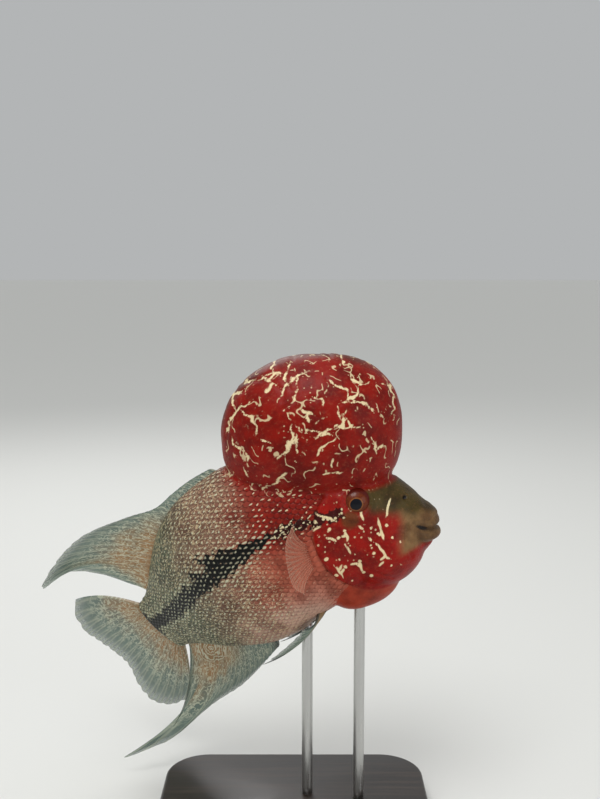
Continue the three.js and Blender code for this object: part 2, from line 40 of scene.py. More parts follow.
import bmesh
import bpy
import numpy as np
from bpy.props import FloatProperty, FloatVectorProperty, IntProperty, PointerProperty
from mathutils import Vector, noise

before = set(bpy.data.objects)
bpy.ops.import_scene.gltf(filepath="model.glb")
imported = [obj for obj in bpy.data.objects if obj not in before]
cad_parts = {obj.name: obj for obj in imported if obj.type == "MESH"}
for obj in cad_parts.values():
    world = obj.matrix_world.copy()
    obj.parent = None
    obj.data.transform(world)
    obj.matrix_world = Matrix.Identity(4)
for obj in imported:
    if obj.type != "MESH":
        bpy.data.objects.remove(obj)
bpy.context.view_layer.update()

MM = 0.001
SIDES = {"right": 1, "left": -1}

# Pose: the spine climbs towards the head, and the tail swings away to the fish's left
HEAD_CLIMB = 20
MIDDLE_CLIMB = 14
TAIL_CLIMB = 14
TAIL_TURN = 42
HEAD_BANK = 6
PLANE_LEAN = math.radians(8)
SNOUT_LEVEL = -20
SNOUT_PLACE = np.array([79.0, -5.0, 175.0])
FRONT_END = -40
REAR_END = 320

# Body outline: distance behind the snout, top, bottom, half width
BODY_STATIONS = [
    [1.4, -18.3, -20.7, 2.6],
    [3, -15.4, -23.5, 5.8],
    [5.6, -10.4, -28, 9.2],
    [9.2, -4.6, -31.8, 12],
    [13.6, 2.6, -34.6, 14.6],
    [18.5, 9.4, -37, 16.8],
    [30, 22.7, -40.8, 20.4],
    [45, 33.6, -44, 23.5],
    [60, 41, -46.8, 25.5],
    [75, 45.4, -48.6, 26.6],
    [94, 47, -51.2, 26.6],
    [109, 46.6, -52.6, 24.8],
    [128, 44.4, -50.7, 21.4],
    [145, 38.6, -45.6, 17.2],
    [164, 29, -38.2, 12.6],
    [183, 20, -27, 8.6],
    [197, 17.2, -20.6, 5.8],
    [204, 17.2, -20, 4.2],
]
BACK_ROUNDNESS = 1.85
BELLY_ROUNDNESS = 2.15
HEAD_SWELL = 1.3
STANDARD_LENGTH = 203

# Balls of flesh that stand out of the body
HUMP = {"s": 46.2, "v": 45, "length": 45, "height": 41.2, "width": 31, "tilt": 20, "squareness": 2.4}
THROAT = {"s": 38, "v": -24.5, "length": 27, "height": 23, "width": 24.8, "tilt": 0, "squareness": 2}
BREAST = {"s": 53.5, "v": -37.5, "length": 23.5, "height": 17.4, "width": 17, "tilt": 0, "squareness": 2.3}

# Head
GILL = {"s": 37, "v": -13, "length": 29.5, "height": 33}
GILL_REACH = 31
GILL_TOP_S = 54
GILL_TOP_V = 14
FOLD_S = 34
SNOUT_END_S = 15
MOUTH = {"front": 3.5, "depth": 15.5, "level": -25.3, "lift": 10, "width": 14.6}
UPPER_LIP = {"back": 0.9, "narrow": 0.99}
LOWER_LIP = {"back": 2.2, "narrow": 0.93}
LIP_SPREAD = 0.95
LIP_RADIUS = 3.1
LIP_END_RADIUS = 1.7
LIP_SHADE = 0.68
EYE = {"s": 40.8, "v": 5, "radius": 8.5, "bulge": 2.2}
EYE_RIM_RADIUS = 1.3
EYE_RIM_REACH = 0.93
NOSTRIL = {"s": 16.2, "v": -2.8, "radius": 1.5}
PUPIL_RADIUS = 2.9
IRIS_RADIUS = 6.5

# Grooves of the face, as side-view paths with a depth and a half width
CHEEK_FOLD = [(50, 8), (53, 0), (53.5, -10), (51, -22), (45, -32), (36, -40)]
JAW_FOLD = [(19.5, -16), (22.5, -20), (24, -26), (23, -33)]
NOSE_FOLD = [(12, -9), (17, -10), (22, -14), (24, -19)]
GILL_GROOVE_DEPTH = 0.9
MOUTH_GROOVE_DEPTH = 1.7
LIP_GROOVE_DEPTH = 0.6
NOSTRIL_DEPTH = 1.6
VEIN_GROOVE_DEPTH = 0.35
SCALE_BED_DEPTH = 0.45
FACE_GROOVES = [(CHEEK_FOLD, 0.5, 1.6), (JAW_FOLD, 0.7, 1.5), (NOSE_FOLD, 0.35, 1.4)]

# How pale lines grow: how far their starts stray, how they bend, and their twigs
START_STRAY = 0.42
LINE_BEND = 0.5
LINE_LEGS = (1, 5)
TWIG_CHANCE = 0.4
TWIG_TURN = 1.1

# Cream lines on the hump: where they start, how they head and how long a leg is
VEIN_FIELD = {
    "station": (13, 83), "level": (26, 86), "gap": 11.5, "top": 90, "slope": 0,
    "heading": 1.5, "swing": 0.75, "step": 5.5, "seed": 41,
}

# Cream lines and pearls of the cheek, kept below a line that rises past the eye
CHEEK_LINE_FIELD = {
    "station": (32, 63), "level": (-28, 6), "gap": 8.5, "top": -6, "slope": 0.35,
    "heading": 1.0, "swing": 0.9, "step": 3.2, "seed": 42,
}
CHEEK_PEARL_FIELD = {
    "station": (29, 66), "level": (-31, 9), "gap": 7, "top": -7, "slope": 0.38, "seed": 43,
}

# Black line along the flank: station, level, half width
FLOWER_LINE = [
    [82, 6.5, 0.6],
    [90, 5.5, 2.6],
    [102, 4.2, 5],
    [114, 3, 6],
    [126, 2, 4.6],
    [140, 1, 4.2],
    [160, -0.5, 4.6],
    [178, 0.3, 4.2],
    [196, 2.5, 4],
]
FLOWER_LOBES = [(110, 10, 2), (118, 10, 3.2), (122, 14, 2), (131, 7.5, 2.6), (142, 6, 2.2), (151, 4.5, 2.2)]
TAIL_BAR = {"s": 200.5, "v": 3.5, "length": 3, "height": 8.5}
EYE_LINE = [(50, 3), (60, 4.5), (82, 6)]

# Scales: spacing along and across the flank, and their size
SCALE_FRONT_S = 50.0
SCALE_FULL_GIRTH = 125
SCALE_STEP = 2.7
SCALE_PITCH = 3.1
SCALE_SHRINK = 0.2
MIDLINE_LEVEL = 2
SCALE_REAR_S = 201
UNWRAP_FRONT_S = 45
UNWRAP_LENGTH = 165
UNWRAP_SPAN = 0.94
UNWRAP_MARGIN = 0.03
BAKE_PATCH = 0.003
PLATE_ROWS = 6
PLATE_COLUMNS = 5

FIN_SINK = 4
SWIRL = {"across": 94, "along": 8, "radius": 13}

# Painted shade in the gap between the lips and in the nostril pits, and the dark tone of the fins' edges
PAINTED_HOLE_SHADE = (0.01, 0.006, 0.005, 1)
FIN_DARK = (0.01, 0.012, 0.012, 1)

# Stand
BASE = {"length": 150, "width": 88, "thickness": 12, "corner": 24, "bevel": 2}
ROD_RADIUS = 3
ROD_STATIONS = [56, 103]

# Studio: the floor's half width, and each light's name, place, size and power
FLOOR_HALF = 12.0
LIGHT_AIM = (-0.02, 0, 0.14)
LIGHTS = [
    ("key", (-0.25, -0.55, 1.3), 0.6, 8),
    ("fill", (1.0, -0.8, 0.5), 0.8, 3),
    ("back", (-0.3, 0.9, 0.9), 0.6, 4),
]

# Camera, in metres and degrees
CAMERA_PLACE = (0.0034, -0.5511, 0.3131)
CAMERA_PITCH = 8
CAMERA_LENS = 46.7


def ease(x, start, end):
    """Smooth step from 0 at start to 1 at end."""
    t = np.clip((np.asarray(x, float) - start) / (end - start), 0, 1)
    return t * t * (3 - 2 * t)


def directions(s):
    """Directions of the body at a station: forward, up the back and out to the right flank."""
    s = np.asarray(s, float)
    climb = np.radians(HEAD_CLIMB + MIDDLE_CLIMB * ease(s, 50, 120) + TAIL_CLIMB * ease(s, 90, 190))
    turn = np.radians(TAIL_TURN * ease(s, 20, 190))
    bank = np.radians(HEAD_BANK * (1 - ease(s, 60, 160)))[..., None]
    forward = np.stack(
        [np.cos(climb) * np.cos(turn), -np.sin(turn), np.sin(climb) * np.cos(turn)], -1
    )
    flat_up = np.stack([-np.sin(climb), 0 * climb, np.cos(climb)], -1)
    flat_right = np.cross(forward, flat_up)
    up = flat_up * np.cos(bank) + flat_right * np.sin(bank)
    right = flat_right * np.cos(bank) - flat_up * np.sin(bank)
    return forward, up, right


def spine_points():
    """Points of the spine at every millimetre, with the snout at the origin."""
    middles = np.arange(FRONT_END, REAR_END) + 0.5
    steps = -directions(middles)[0]
    points = np.vstack([np.zeros(3), np.cumsum(steps, axis=0)])
    return points - points[-FRONT_END]


SPINE = spine_points()
SNOUT_OFFSET = -SNOUT_LEVEL * directions(0)[1]


def place(points):
    """Places in the model, in metres, of points of the straight fish."""
    points = np.asarray(points, float)
    s = np.clip(points[..., 0], FRONT_END, REAR_END - 1)
    low = np.floor(s).astype(int)
    share = (s - low)[..., None]
    start = SPINE[low - FRONT_END]
    end = SPINE[np.minimum(low + 1, REAR_END) - FRONT_END]
    _, up, right = directions(s)
    spot = start + (end - start) * share + SNOUT_OFFSET
    spot = spot + right * points[..., 1:2] + up * points[..., 2:3]
    x, y, z = spot[..., 0], spot[..., 1], spot[..., 2]
    leaned = np.stack(
        [
            x,
            y * math.cos(PLANE_LEAN) + z * math.sin(PLANE_LEAN),
            z * math.cos(PLANE_LEAN) - y * math.sin(PLANE_LEAN),
        ],
        -1,
    )
    return (leaned + SNOUT_PLACE) * MM


def curve_through(rows):
    """Smooth curve through the rows of a table, whose first column is the place along it."""
    rows = np.array(rows, float)
    knots, values = rows[:, 0], rows[:, 1:]
    last = len(knots) - 1
    index = np.arange(last + 1)
    before, after = np.maximum(index - 1, 0), np.minimum(index + 1, last)
    slopes = (values[after] - values[before]) / (knots[after] - knots[before])[:, None]

    def at(x):
        x = np.clip(np.asarray(x, float), knots[0], knots[-1])
        i = np.clip(np.searchsorted(knots, x) - 1, 0, last - 1)
        span = (knots[i + 1] - knots[i])[..., None]
        q = (x[..., None] - knots[i][..., None]) / span
        rise = q * q * (3 - 2 * q)
        leave = q * (1 - q) ** 2 * span * slopes[i]
        arrive = q * q * (q - 1) * span * slopes[i + 1]
        return values[i] + (values[i + 1] - values[i]) * rise + leave + arrive

    return at


body_at = curve_through(BODY_STATIONS)
flower_at = curve_through(FLOWER_LINE)


def scattered_places(field, random):
    """Places spread over a field of the flank, each a little off its even spacing."""
    places = []
    for station in np.arange(*field["station"], field["gap"]):
        for level in np.arange(*field["level"], field["gap"]):
            stray = random.uniform(-START_STRAY, START_STRAY, 2) * field["gap"]
            spot = np.array([station, level]) + stray
            if spot[1] < field["top"] + field["slope"] * (spot[0] - field["station"][0]):
                places.append(spot)
    return places


def leg_end(start, heading, step):
    """Where a leg ends that sets out from a place with a heading."""
    return start + step * np.array([np.cos(heading), np.sin(heading)])


def grown_lines(field):
    """Short bent lines that grow from scattered places, some with a twig."""
    random = np.random.default_rng(field["seed"])
    lines = []
    for start in scattered_places(field, random):
        heading = random.normal(field["heading"], field["swing"])
        line = [start]
        for _ in range(random.integers(*LINE_LEGS)):
            heading += random.normal(0, LINE_BEND)
            line.append(leg_end(line[-1], heading, field["step"]))
        lines.append(line)
        if random.random() < TWIG_CHANCE:
            twig = heading + random.choice([-TWIG_TURN, TWIG_TURN])
            lines.append([line[1], leg_end(line[1], twig, field["step"])])
    return lines


vein_lines = grown_lines(VEIN_FIELD)
cheek_lines = grown_lines(CHEEK_LINE_FIELD)
cheek_spots = scattered_places(CHEEK_PEARL_FIELD, np.random.default_rng(CHEEK_PEARL_FIELD["seed"]))


def power(value, exponent):
    """A power that keeps the sign of its base."""
    return np.sign(value) * np.abs(value) ** exponent


def flank(s, v, swell=0.0):
    """Half width of the body at a height of a station."""
    top, bottom, half = np.moveaxis(body_at(s), -1, 0)
    middle = (top + bottom) / 2
    height = (top - bottom) / 2 + swell
    roundness = np.where(v > middle, BACK_ROUNDNESS, BELLY_ROUNDNESS)
    share = np.minimum(1, np.abs(v - middle) / height)
    return (half + swell) * (1 - share**roundness) ** (1 / roundness)


def gill_distance(s, v):
    """How far behind the gill cover's rear edge a place lies, below zero inside the head."""
    reach = np.hypot((s - GILL["s"]) / GILL["length"], (v - GILL["v"]) / GILL["height"])
    behind = (reach - 1) * GILL_REACH
    above = np.where(v > GILL_TOP_V, s - GILL_TOP_S, 99)
    below = np.where(v < GILL["v"], s - FOLD_S, 99)
    return np.minimum(behind, np.minimum(above, below))


def head_edge(s, v):
    """The distance behind the gill cover's rear edge, with the tip of the snout in the head."""
    return np.where(s < SNOUT_END_S, -2, gill_distance(s, v))


def ball_distance(points, ball):
    """About how far outside a ball of flesh each point lies, below zero inside it."""
    tilt = math.radians(ball["tilt"])
    across = points[..., 0] - ball["s"]
    rise = points[..., 2] - ball["v"]
    along = across * math.cos(tilt) + rise * math.sin(tilt)
    up = rise * math.cos(tilt) - across * math.sin(tilt)
    e = ball["squareness"]
    flat = np.abs(along / ball["length"]) ** e + np.abs(up / ball["height"]) ** e
    reach = np.hypot(flat ** (1 / e), points[..., 1] / ball["width"])
    return (reach - 1) * min(ball["length"], ball["height"], ball["width"])


def path_distance(spots, paths, taper=0.0):
    """Distance of each two-coordinate spot from the nearest path, longer towards the path's ends."""
    best = np.full(len(spots), 1e3)
    for path in paths:
        corners = np.array(path, float)
        legs = len(corners) - 1
        for i in range(legs):
            start, leg = corners[i], corners[i + 1] - corners[i]
            share = np.clip(((spots - start) @ leg) / max(leg @ leg, 1e-9), 0, 1)
            gap = spots - start - share[:, None] * leg
            ends = taper * np.abs(2 * (i + share) / legs - 1) ** 3
            best = np.minimum(best, np.hypot(gap[:, 0], gap[:, 1]) + ends)
    return best


def spot_distance(spots, centres):
    """Distance of each two-coordinate spot from the nearest centre."""
    return path_distance(spots, [[centre, centre] for centre in centres])


def mouth_line(a):
    """The line between the lips: half a turn round the snout, with its corners lifted."""
    turn = np.asarray(a, float) * math.pi / 2
    return np.stack(
        [
            MOUTH["front"] + MOUTH["depth"] * (1 - np.cos(turn)),
            MOUTH["width"] * np.sin(turn),
            MOUTH["level"] + MOUTH["lift"] * np.abs(a) ** 4,
        ],
        -1,
    )


def lip_path(t, side):
    """Middle line of a lip, upper or lower."""
    lip = UPPER_LIP if side > 0 else LOWER_LIP
    points = mouth_line(2 * t - 1)
    points[..., 2] += side * LIP_RADIUS * LIP_SPREAD
    points[..., 0] += lip["back"]
    points[..., 1] *= lip["narrow"]
    return points


def lip_radius(t):
    """Radius of a lip along its path."""
    return LIP_END_RADIUS + (LIP_RADIUS - LIP_END_RADIUS) * np.cos(np.radians(90 * (2 * t - 1)))


def eye_out(side):
    """Distance of the eyeball's centre from the middle plane."""
    return side * float(flank(EYE["s"], EYE["v"]) + HEAD_SWELL + EYE["bulge"] - EYE["radius"])


def grid_faces(rows, columns, closed=False):
    """Quads over a grid of points, closed round its columns where asked."""
    i = np.arange(rows - 1)[:, None]
    j = np.arange(columns if closed else columns - 1)[None, :]
    after = (j + 1) % columns
    quads = np.stack(
        [i * columns + j, i * columns + after, (i + 1) * columns + after, (i + 1) * columns + j], -1
    )
    return quads.reshape(-1, 4)


def capped_rings(rings, front, back):
    """Points and faces of a closed skin over rings of points."""
    rows, columns = rings.shape[:2]
    points = np.vstack([rings.reshape(-1, 3), front, back])
    faces = [list(quad) for quad in grid_faces(rows, columns, closed=True)]
    ahead = rows * columns
    last = (rows - 1) * columns
    for j in range(columns):
        after = (j + 1) % columns
        faces.append([ahead, after, j])
        faces.append([ahead + 1, last + j, last + after])
    return points, faces


def body_rings(stations, sides):
    """Rings of the body from the snout to the tail, with the head swollen over the gills."""
    top, bottom, half = np.moveaxis(body_at(stations), -1, 0)
    angle = 2 * np.pi * np.arange(sides) / sides
    roundness = np.where(np.sin(angle) > 0, BACK_ROUNDNESS, BELLY_ROUNDNESS)
    across = power(np.cos(angle), 2 / roundness)[None, :]
    rise = power(np.sin(angle), 2 / roundness)[None, :]
    middle = ((top + bottom) / 2)[:, None]
    height = ((top - bottom) / 2)[:, None]
    level = middle + height * rise
    s = np.broadcast_to(stations[:, None], level.shape)
    swell = HEAD_SWELL * ease(gill_distance(s, level), 0.6, -0.6)
    return np.stack([s, (half[:, None] + swell) * across, middle + (height + swell) * rise], -1)


def ball_rings(ball, around, across):
    """Rings of a ball of flesh, from its left side to its right."""
    lift = np.pi * (np.arange(1, across) / across - 0.5)[:, None]
    angle = (2 * np.pi * np.arange(around) / around)[None, :]
    corner = 2 / ball["squareness"]
    back = ball["length"] * power(np.cos(angle), corner) * np.cos(lift)
    rise = ball["height"] * power(np.sin(angle), corner) * np.cos(lift)
    tilt = math.radians(ball["tilt"])
    s = ball["s"] + back * math.cos(tilt) - rise * math.sin(tilt)
    v = ball["v"] + back * math.sin(tilt) + rise * math.cos(tilt)
    u = np.broadcast_to(ball["width"] * np.sin(lift), s.shape)
    left = np.array([ball["s"], -ball["width"], ball["v"]])
    right = np.array([ball["s"], ball["width"], ball["v"]])
    return np.stack([s, u, v], -1), left, right


def bar_rings(path, radii, sides):
    """Rings of a round bar along a path of points."""
    along = np.gradient(path, axis=0)
    along /= np.linalg.norm(along, axis=1)[:, None]
    side = np.cross([0, 0, 1.0], along)
    side /= np.linalg.norm(side, axis=1)[:, None]
    rise = np.cross(along, side)
    angle = 2 * np.pi * np.arange(sides) / sides
    ring = side[:, None] * np.cos(angle)[None, :, None] + rise[:, None] * np.sin(angle)[None, :, None]
    return path[:, None] + ring * radii[:, None, None]


def eye_rim_rings(side):
    """Rings of the raised skin round an eye."""
    turns, sides = 48, 10
    angle = 2 * np.pi * np.arange(turns) / turns
    radius = EYE["radius"] * EYE_RIM_REACH
    s = EYE["s"] + radius * np.cos(angle)
    v = EYE["v"] + radius * np.sin(angle)
    u = side * (flank(s, v, HEAD_SWELL) - 0.2)
    path = np.stack([s, u, v], -1)
    outward = path - [EYE["s"], 0, EYE["v"]]
    outward[:, 1] = 0
    outward /= np.linalg.norm(outward, axis=1)[:, None]
    wind = 2 * np.pi * np.arange(sides) / sides
    ring = outward[:, None] * np.cos(wind)[None, :, None]
    ring = ring + np.array([0, side, 0]) * np.sin(wind)[None, :, None]
    return path[:, None] + ring * EYE_RIM_RADIUS


def mesh_of(name, points, faces):
    """A mesh from points and faces."""
    mesh = bpy.data.meshes.new(name)
    mesh.from_pydata(np.asarray(points).tolist(), [], [list(map(int, face)) for face in faces])
    mesh.update()
    return mesh


def piece(name, mesh):
    """An object at the origin for a finished mesh."""
    made = bpy.data.objects.new(name, mesh)
    bpy.context.scene.collection.objects.link(made)
    return made


def plain_mesh(obj):
    """The mesh of an object with its modifiers worked out."""
    graph = bpy.context.evaluated_depsgraph_get()
    return bpy.data.meshes.new_from_object(obj.evaluated_get(graph), depsgraph=graph)


def drop(obj):
    """Removes a helper object and its mesh."""
    mesh = obj.data
    bpy.data.objects.remove(obj)
    bpy.data.meshes.remove(mesh)


def fix_normals(mesh):
    """Turns the faces of a closed mesh outwards."""
    work = bmesh.new()
    work.from_mesh(mesh)
    bmesh.ops.recalc_face_normals(work, faces=work.faces)
    work.to_mesh(mesh)
    work.free()


def smooth_shade(mesh):
    """Shades a mesh smooth."""
    mesh.polygons.foreach_set("use_smooth", np.ones(len(mesh.polygons), bool))
    mesh.update()


def mesh_points(mesh):
    """The vertices of a mesh as an array."""
    values = np.empty(len(mesh.vertices) * 3)
    mesh.vertices.foreach_get("co", values)
    return values.reshape(-1, 3)


def set_points(mesh, points):
    """Moves the vertices of a mesh."""
    mesh.vertices.foreach_set("co", np.ascontiguousarray(points).ravel())
    mesh.update()


def store(mesh, name, values, domain="POINT"):
    """Keeps numbers, vectors or colours on a mesh under a name."""
    values = np.asarray(values, float)
    kind, field = "FLOAT", "value"
    if values.ndim == 2 and values.shape[1] == 3:
        kind, field = "FLOAT_VECTOR", "vector"
    if values.ndim == 2 and values.shape[1] == 4:
        kind, field = "FLOAT_COLOR", "color"
    layer = mesh.attributes.new(name, kind, domain)
    layer.data.foreach_set(field, np.ascontiguousarray(values).ravel())


def lump_noise(points, size, seed):
    """Smooth noise between -1 and 1, with lumps of about the size given."""
    shift = Vector((seed, -seed, 2 * seed))
    return np.array([noise.noise(Vector(p) / size + shift) for p in points.tolist()])


class Value:
    """A socket's number; arithmetic on it adds Math nodes."""

    def __init__(self, kit, socket):
        self.kit = kit
        self.socket = socket

    def combine(self, operation, other, swapped=False):
        pair = (other, self) if swapped else (self, other)
        return self.kit.make("ShaderNodeMath", {"operation": operation}, {0: pair[0], 1: pair[1]})

    def __add__(self, other):
        return self.combine("ADD", other)

    def __radd__(self, other):
        return self.combine("ADD", other, True)

    def __sub__(self, other):
        return self.combine("SUBTRACT", other)

    def __rsub__(self, other):
        return self.combine("SUBTRACT", other, True)

    def __mul__(self, other):
        return self.combine("MULTIPLY", other)

    def __rmul__(self, other):
        return self.combine("MULTIPLY", other, True)

    def __abs__(self):
        return self.combine("ABSOLUTE", 0)

    def most(self, other):
        return self.combine("MAXIMUM", other)


class Kit:
    """Makes the nodes of one tree."""

    def __init__(self, tree):
        self.tree = tree

    def make(self, kind, settings=None, inputs=None, output=0):
        """Adds a node with its settings and inputs, and gives one of its outputs."""
        node = self.tree.nodes.new(kind)
        for name, value in (settings or {}).items():
            setattr(node, name, value)
        for name, value in (inputs or {}).items():
            self.feed(node.inputs[name], value)
        return Value(self, node.outputs[output])

    def feed(self, socket, value):
        """Links or sets one input socket."""
        if isinstance(value, Value):
            self.tree.links.new(value.socket, socket)
        else:
            socket.default_value = value

    def number(self, name):
        """A number kept on the mesh."""
        return self.make("ShaderNodeAttribute", {"attribute_name": name}, output="Fac")

    def vector(self, name):
        """A vector kept on the mesh."""
        return self.make("ShaderNodeAttribute", {"attribute_name": name}, output="Vector")

    def colour(self, name):
        """A colour kept on the mesh."""
        return self.make("ShaderNodeAttribute", {"attribute_name": name}, output="Color")

    def parts(self, vector):
        """The three numbers of a vector."""
        split = self.make("ShaderNodeSeparateXYZ", inputs={0: vector})
        outputs = split.socket.node.outputs
        return [Value(self, outputs[i]) for i in range(3)]

    def joined(self, x, y, z):
        """A vector from three numbers."""
        return self.make("ShaderNodeCombineXYZ", inputs={0: x, 1: y, 2: z})

    def stretched(self, vector, sizes):
        """A vector with each of its numbers multiplied."""
        return self.make(
            "ShaderNodeVectorMath", {"operation": "MULTIPLY"}, {0: vector, 1: sizes}
        )

    def added(self, first, second):
        """The sum of two vectors."""
        return self.make("ShaderNodeVectorMath", {"operation": "ADD"}, {0: first, 1: second})

    def length(self, vector):
        """The length of a vector."""
        return self.make(
            "ShaderNodeVectorMath", {"operation": "LENGTH"}, {0: vector}, output="Value"
        )

    def noise(self, vector, scale, detail=2.0, rough=0.5, bend=0.0):
        """Noise between 0 and 1."""
        inputs = {
            "Vector": vector,
            "Scale": scale,
            "Detail": detail,
            "Roughness": rough,
            "Distortion": bend,
        }
        return self.make("ShaderNodeTexNoise", inputs=inputs)

    def cells(self, vector, scale, feature="F1", spread=1.0):
        """Distance from the middle or the edge of scattered cells."""
        return self.make(
            "ShaderNodeTexVoronoi",
            {"feature": feature},
            {"Vector": vector, "Scale": scale, "Randomness": spread},
            output="Distance",
        )

    def band(self, value, start, end):
        """Smooth step from 0 at start to 1 at end."""
        return self.make(
            "ShaderNodeMapRange",
            {"interpolation_type": "SMOOTHSTEP"},
            {"Value": value, "From Min": start, "From Max": end},
        )

    def mix(self, share, first, second, blend="MIX"):
        """Mixes two colours."""
        return self.make(
            "ShaderNodeMix",
            {"data_type": "RGBA", "blend_type": blend},
            {0: share, 6: first, 7: second},
            output=2,
        )

    def bump(self, height, strength, distance):
        """A surface direction from a height."""
        return self.make(
            "ShaderNodeBump", inputs={"Strength": strength, "Distance": distance, "Height": height}
        )


def material(name, settings):
    """A material, its maker of nodes and its main shader, with the constants given."""
    made = bpy.data.materials.new(name)
    made.use_nodes = True
    shader = made.node_tree.nodes["Principled BSDF"]
    for socket, value in settings.items():
        shader.inputs[socket].default_value = value
    return made, Kit(made.node_tree), shader


def colour4(values):
    """A colour with full cover from a property's three numbers."""
    return (values[0], values[1], values[2], 1.0)


def shade(red, green, blue):
    """Linear colour from the usual 0 to 255 numbers."""
    return tuple((c / 255) ** 2.2 for c in (red, green, blue))


def colour_property(name, description, default):
    """A colour that a user can change."""
    return FloatVectorProperty(
        name=name,
        description=description,
        default=default,
        subtype="COLOR",
        min=0.0,
        max=1.0,
        size=3,
    )


class SkinSettings(bpy.types.PropertyGroup):
    """Sizes and colours of the skin."""

    voxel: FloatProperty(
        name="Skin Detail",
        description="Size of the skin's faces, in millimetres",
        default=0.88,
        min=0.5,
    )
    hump: colour_property("Hump", "Colour of the nuchal hump", shade(132, 22, 6))
    cheek: colour_property("Cheek", "Colour of the cheeks and throat", shade(144, 20, 5))
    breast: colour_property("Breast", "Colour of the breast", shade(162, 60, 40))
    crown: colour_property("Forehead", "Colour of the forehead", shade(70, 58, 28))
    lips: colour_property("Lips", "Colour of the lips", shade(128, 98, 64))
    shoulder: colour_property("Shoulder", "Colour behind the gill covers", shade(132, 30, 20))
    salmon: colour_property("Side", "Colour behind the pectoral fins", shade(176, 92, 72))
    flank: colour_property("Flank", "Colour of the middle of the flank", shade(130, 96, 80))
    belly: colour_property("Belly", "Colour of the belly", shade(190, 152, 134))
    tail: colour_property("Tail", "Colour of the root of the tail", shade(84, 92, 74))
    cream: colour_property("Cream", "Colour of the lines and pearls", shade(232, 214, 168))
    black: colour_property("Flower Line", "Colour of the line along the flank", shade(14, 14, 13))


class ScaleSettings(bpy.types.PropertyGroup):
    """Sizes and colours of the scales."""

    length: FloatProperty(
        name="Scale Length",
        description="Length of a scale, as a share of the spacing",
        default=1.75,
        min=0.5,
    )
    width: FloatProperty(
        name="Scale Width",
        description="Width of a scale, as a share of the spacing",
        default=1.2,
        min=0.5,
    )
    pearl: colour_property("Pearl", "Colour in the middle of a scale", shade(206, 208, 176))
    seed: IntProperty(name="Seed", description="Seed of the scales' small differences", default=5)


class FinSettings(bpy.types.PropertyGroup):
    """Colours of the fins."""

    web: colour_property("Membrane", "Colour of the fins between the rays", shade(106, 124, 114))
    root: colour_property("Fin Root", "Colour near the roots of the fins", shade(166, 116, 56))
    ray: colour_property("Rays", "Colour of the rays", shade(178, 182, 160))
    dash: colour_property("Dashes", "Colour of the wavy marks", shade(216, 218, 190))
    pectoral: colour_property("Pectoral Fins", "Colour of the pectoral fins", shade(208, 130, 106))


class EyeSettings(bpy.types.PropertyGroup):
    """Colours of the eyes."""

    iris: colour_property("Iris", "Colour of the iris", shade(104, 46, 14))
    rim: colour_property("Iris Rim", "Colour of the iris's outer edge", shade(78, 20, 10))
    pupil: colour_property("Pupil", "Colour of the pupil", shade(8, 10, 22))


class StandSettings(bpy.types.PropertyGroup):
    """Colours of the stand and the floor."""

    wood: colour_property("Base", "Colour of the base's stained wood", shade(38, 32, 28))
    steel: colour_property("Rods", "Colour of the rods", shade(190, 190, 188))
    floor: colour_property("Floor", "Colour of the floor", shade(214, 214, 210))


class FlowerhornSettings(bpy.types.PropertyGroup):
    """All settings of the model."""

    skin: PointerProperty(type=SkinSettings, name="Skin", description="The fish's skin")
    scales: PointerProperty(type=ScaleSettings, name="Scales", description="The fish's scales")
    fins: PointerProperty(type=FinSettings, name="Fins", description="The fish's fins")
    eyes: PointerProperty(type=EyeSettings, name="Eyes", description="The fish's eyes")
    stand: PointerProperty(type=StandSettings, name="Stand", description="The stand and the floor")


def flower_distance(s, v):
    """How far outside the black line of the flank a place lies, below zero inside it."""
    level, half = np.moveaxis(flower_at(s), -1, 0)
    ahead = np.maximum(0, FLOWER_LINE[0][0] - s)
    line = np.hypot(np.abs(v - level), ahead) - half
    bar = np.hypot((s - TAIL_BAR["s"]) / TAIL_BAR["length"], (v - TAIL_BAR["v"]) / TAIL_BAR["height"])
    best = np.minimum(line, (bar - 1) * TAIL_BAR["length"])
    for lobe_s, lobe_v, radius in FLOWER_LOBES:
        best = np.minimum(best, np.hypot(s - lobe_s, v - lobe_v) - radius)
    return best


def lip_distance(points):
    """How far outside the lips each point lies."""
    t = np.linspace(0, 1, 33)
    best = np.full(len(points), 1e3)
    for side in (1, -1):
        centres = lip_path(t, side)
        radii = lip_radius(t)
        for centre, radius in zip(centres, radii):
            best = np.minimum(best, np.linalg.norm(points - centre, axis=1) - radius)
    return best


def mouth_distance(points):
    """Distance of each point from the line between the lips."""
    best = np.full(len(points), 1e3)
    for centre in mouth_line(np.linspace(-1.04, 1.04, 61)):
        centre = centre + [-1.2, 0, 0.1]
        gap = (points - centre) * [0.5, 0.5, 1]
        best = np.minimum(best, np.linalg.norm(gap, axis=1))
    return best


def body_share(points):
    """One where a point is on the plain body and not on a ball of flesh."""
    share = np.ones(len(points))
    for ball in (HUMP, THROAT, BREAST):
        share = share * ease(ball_distance(points, ball), 0.2, 1.6)
    return share


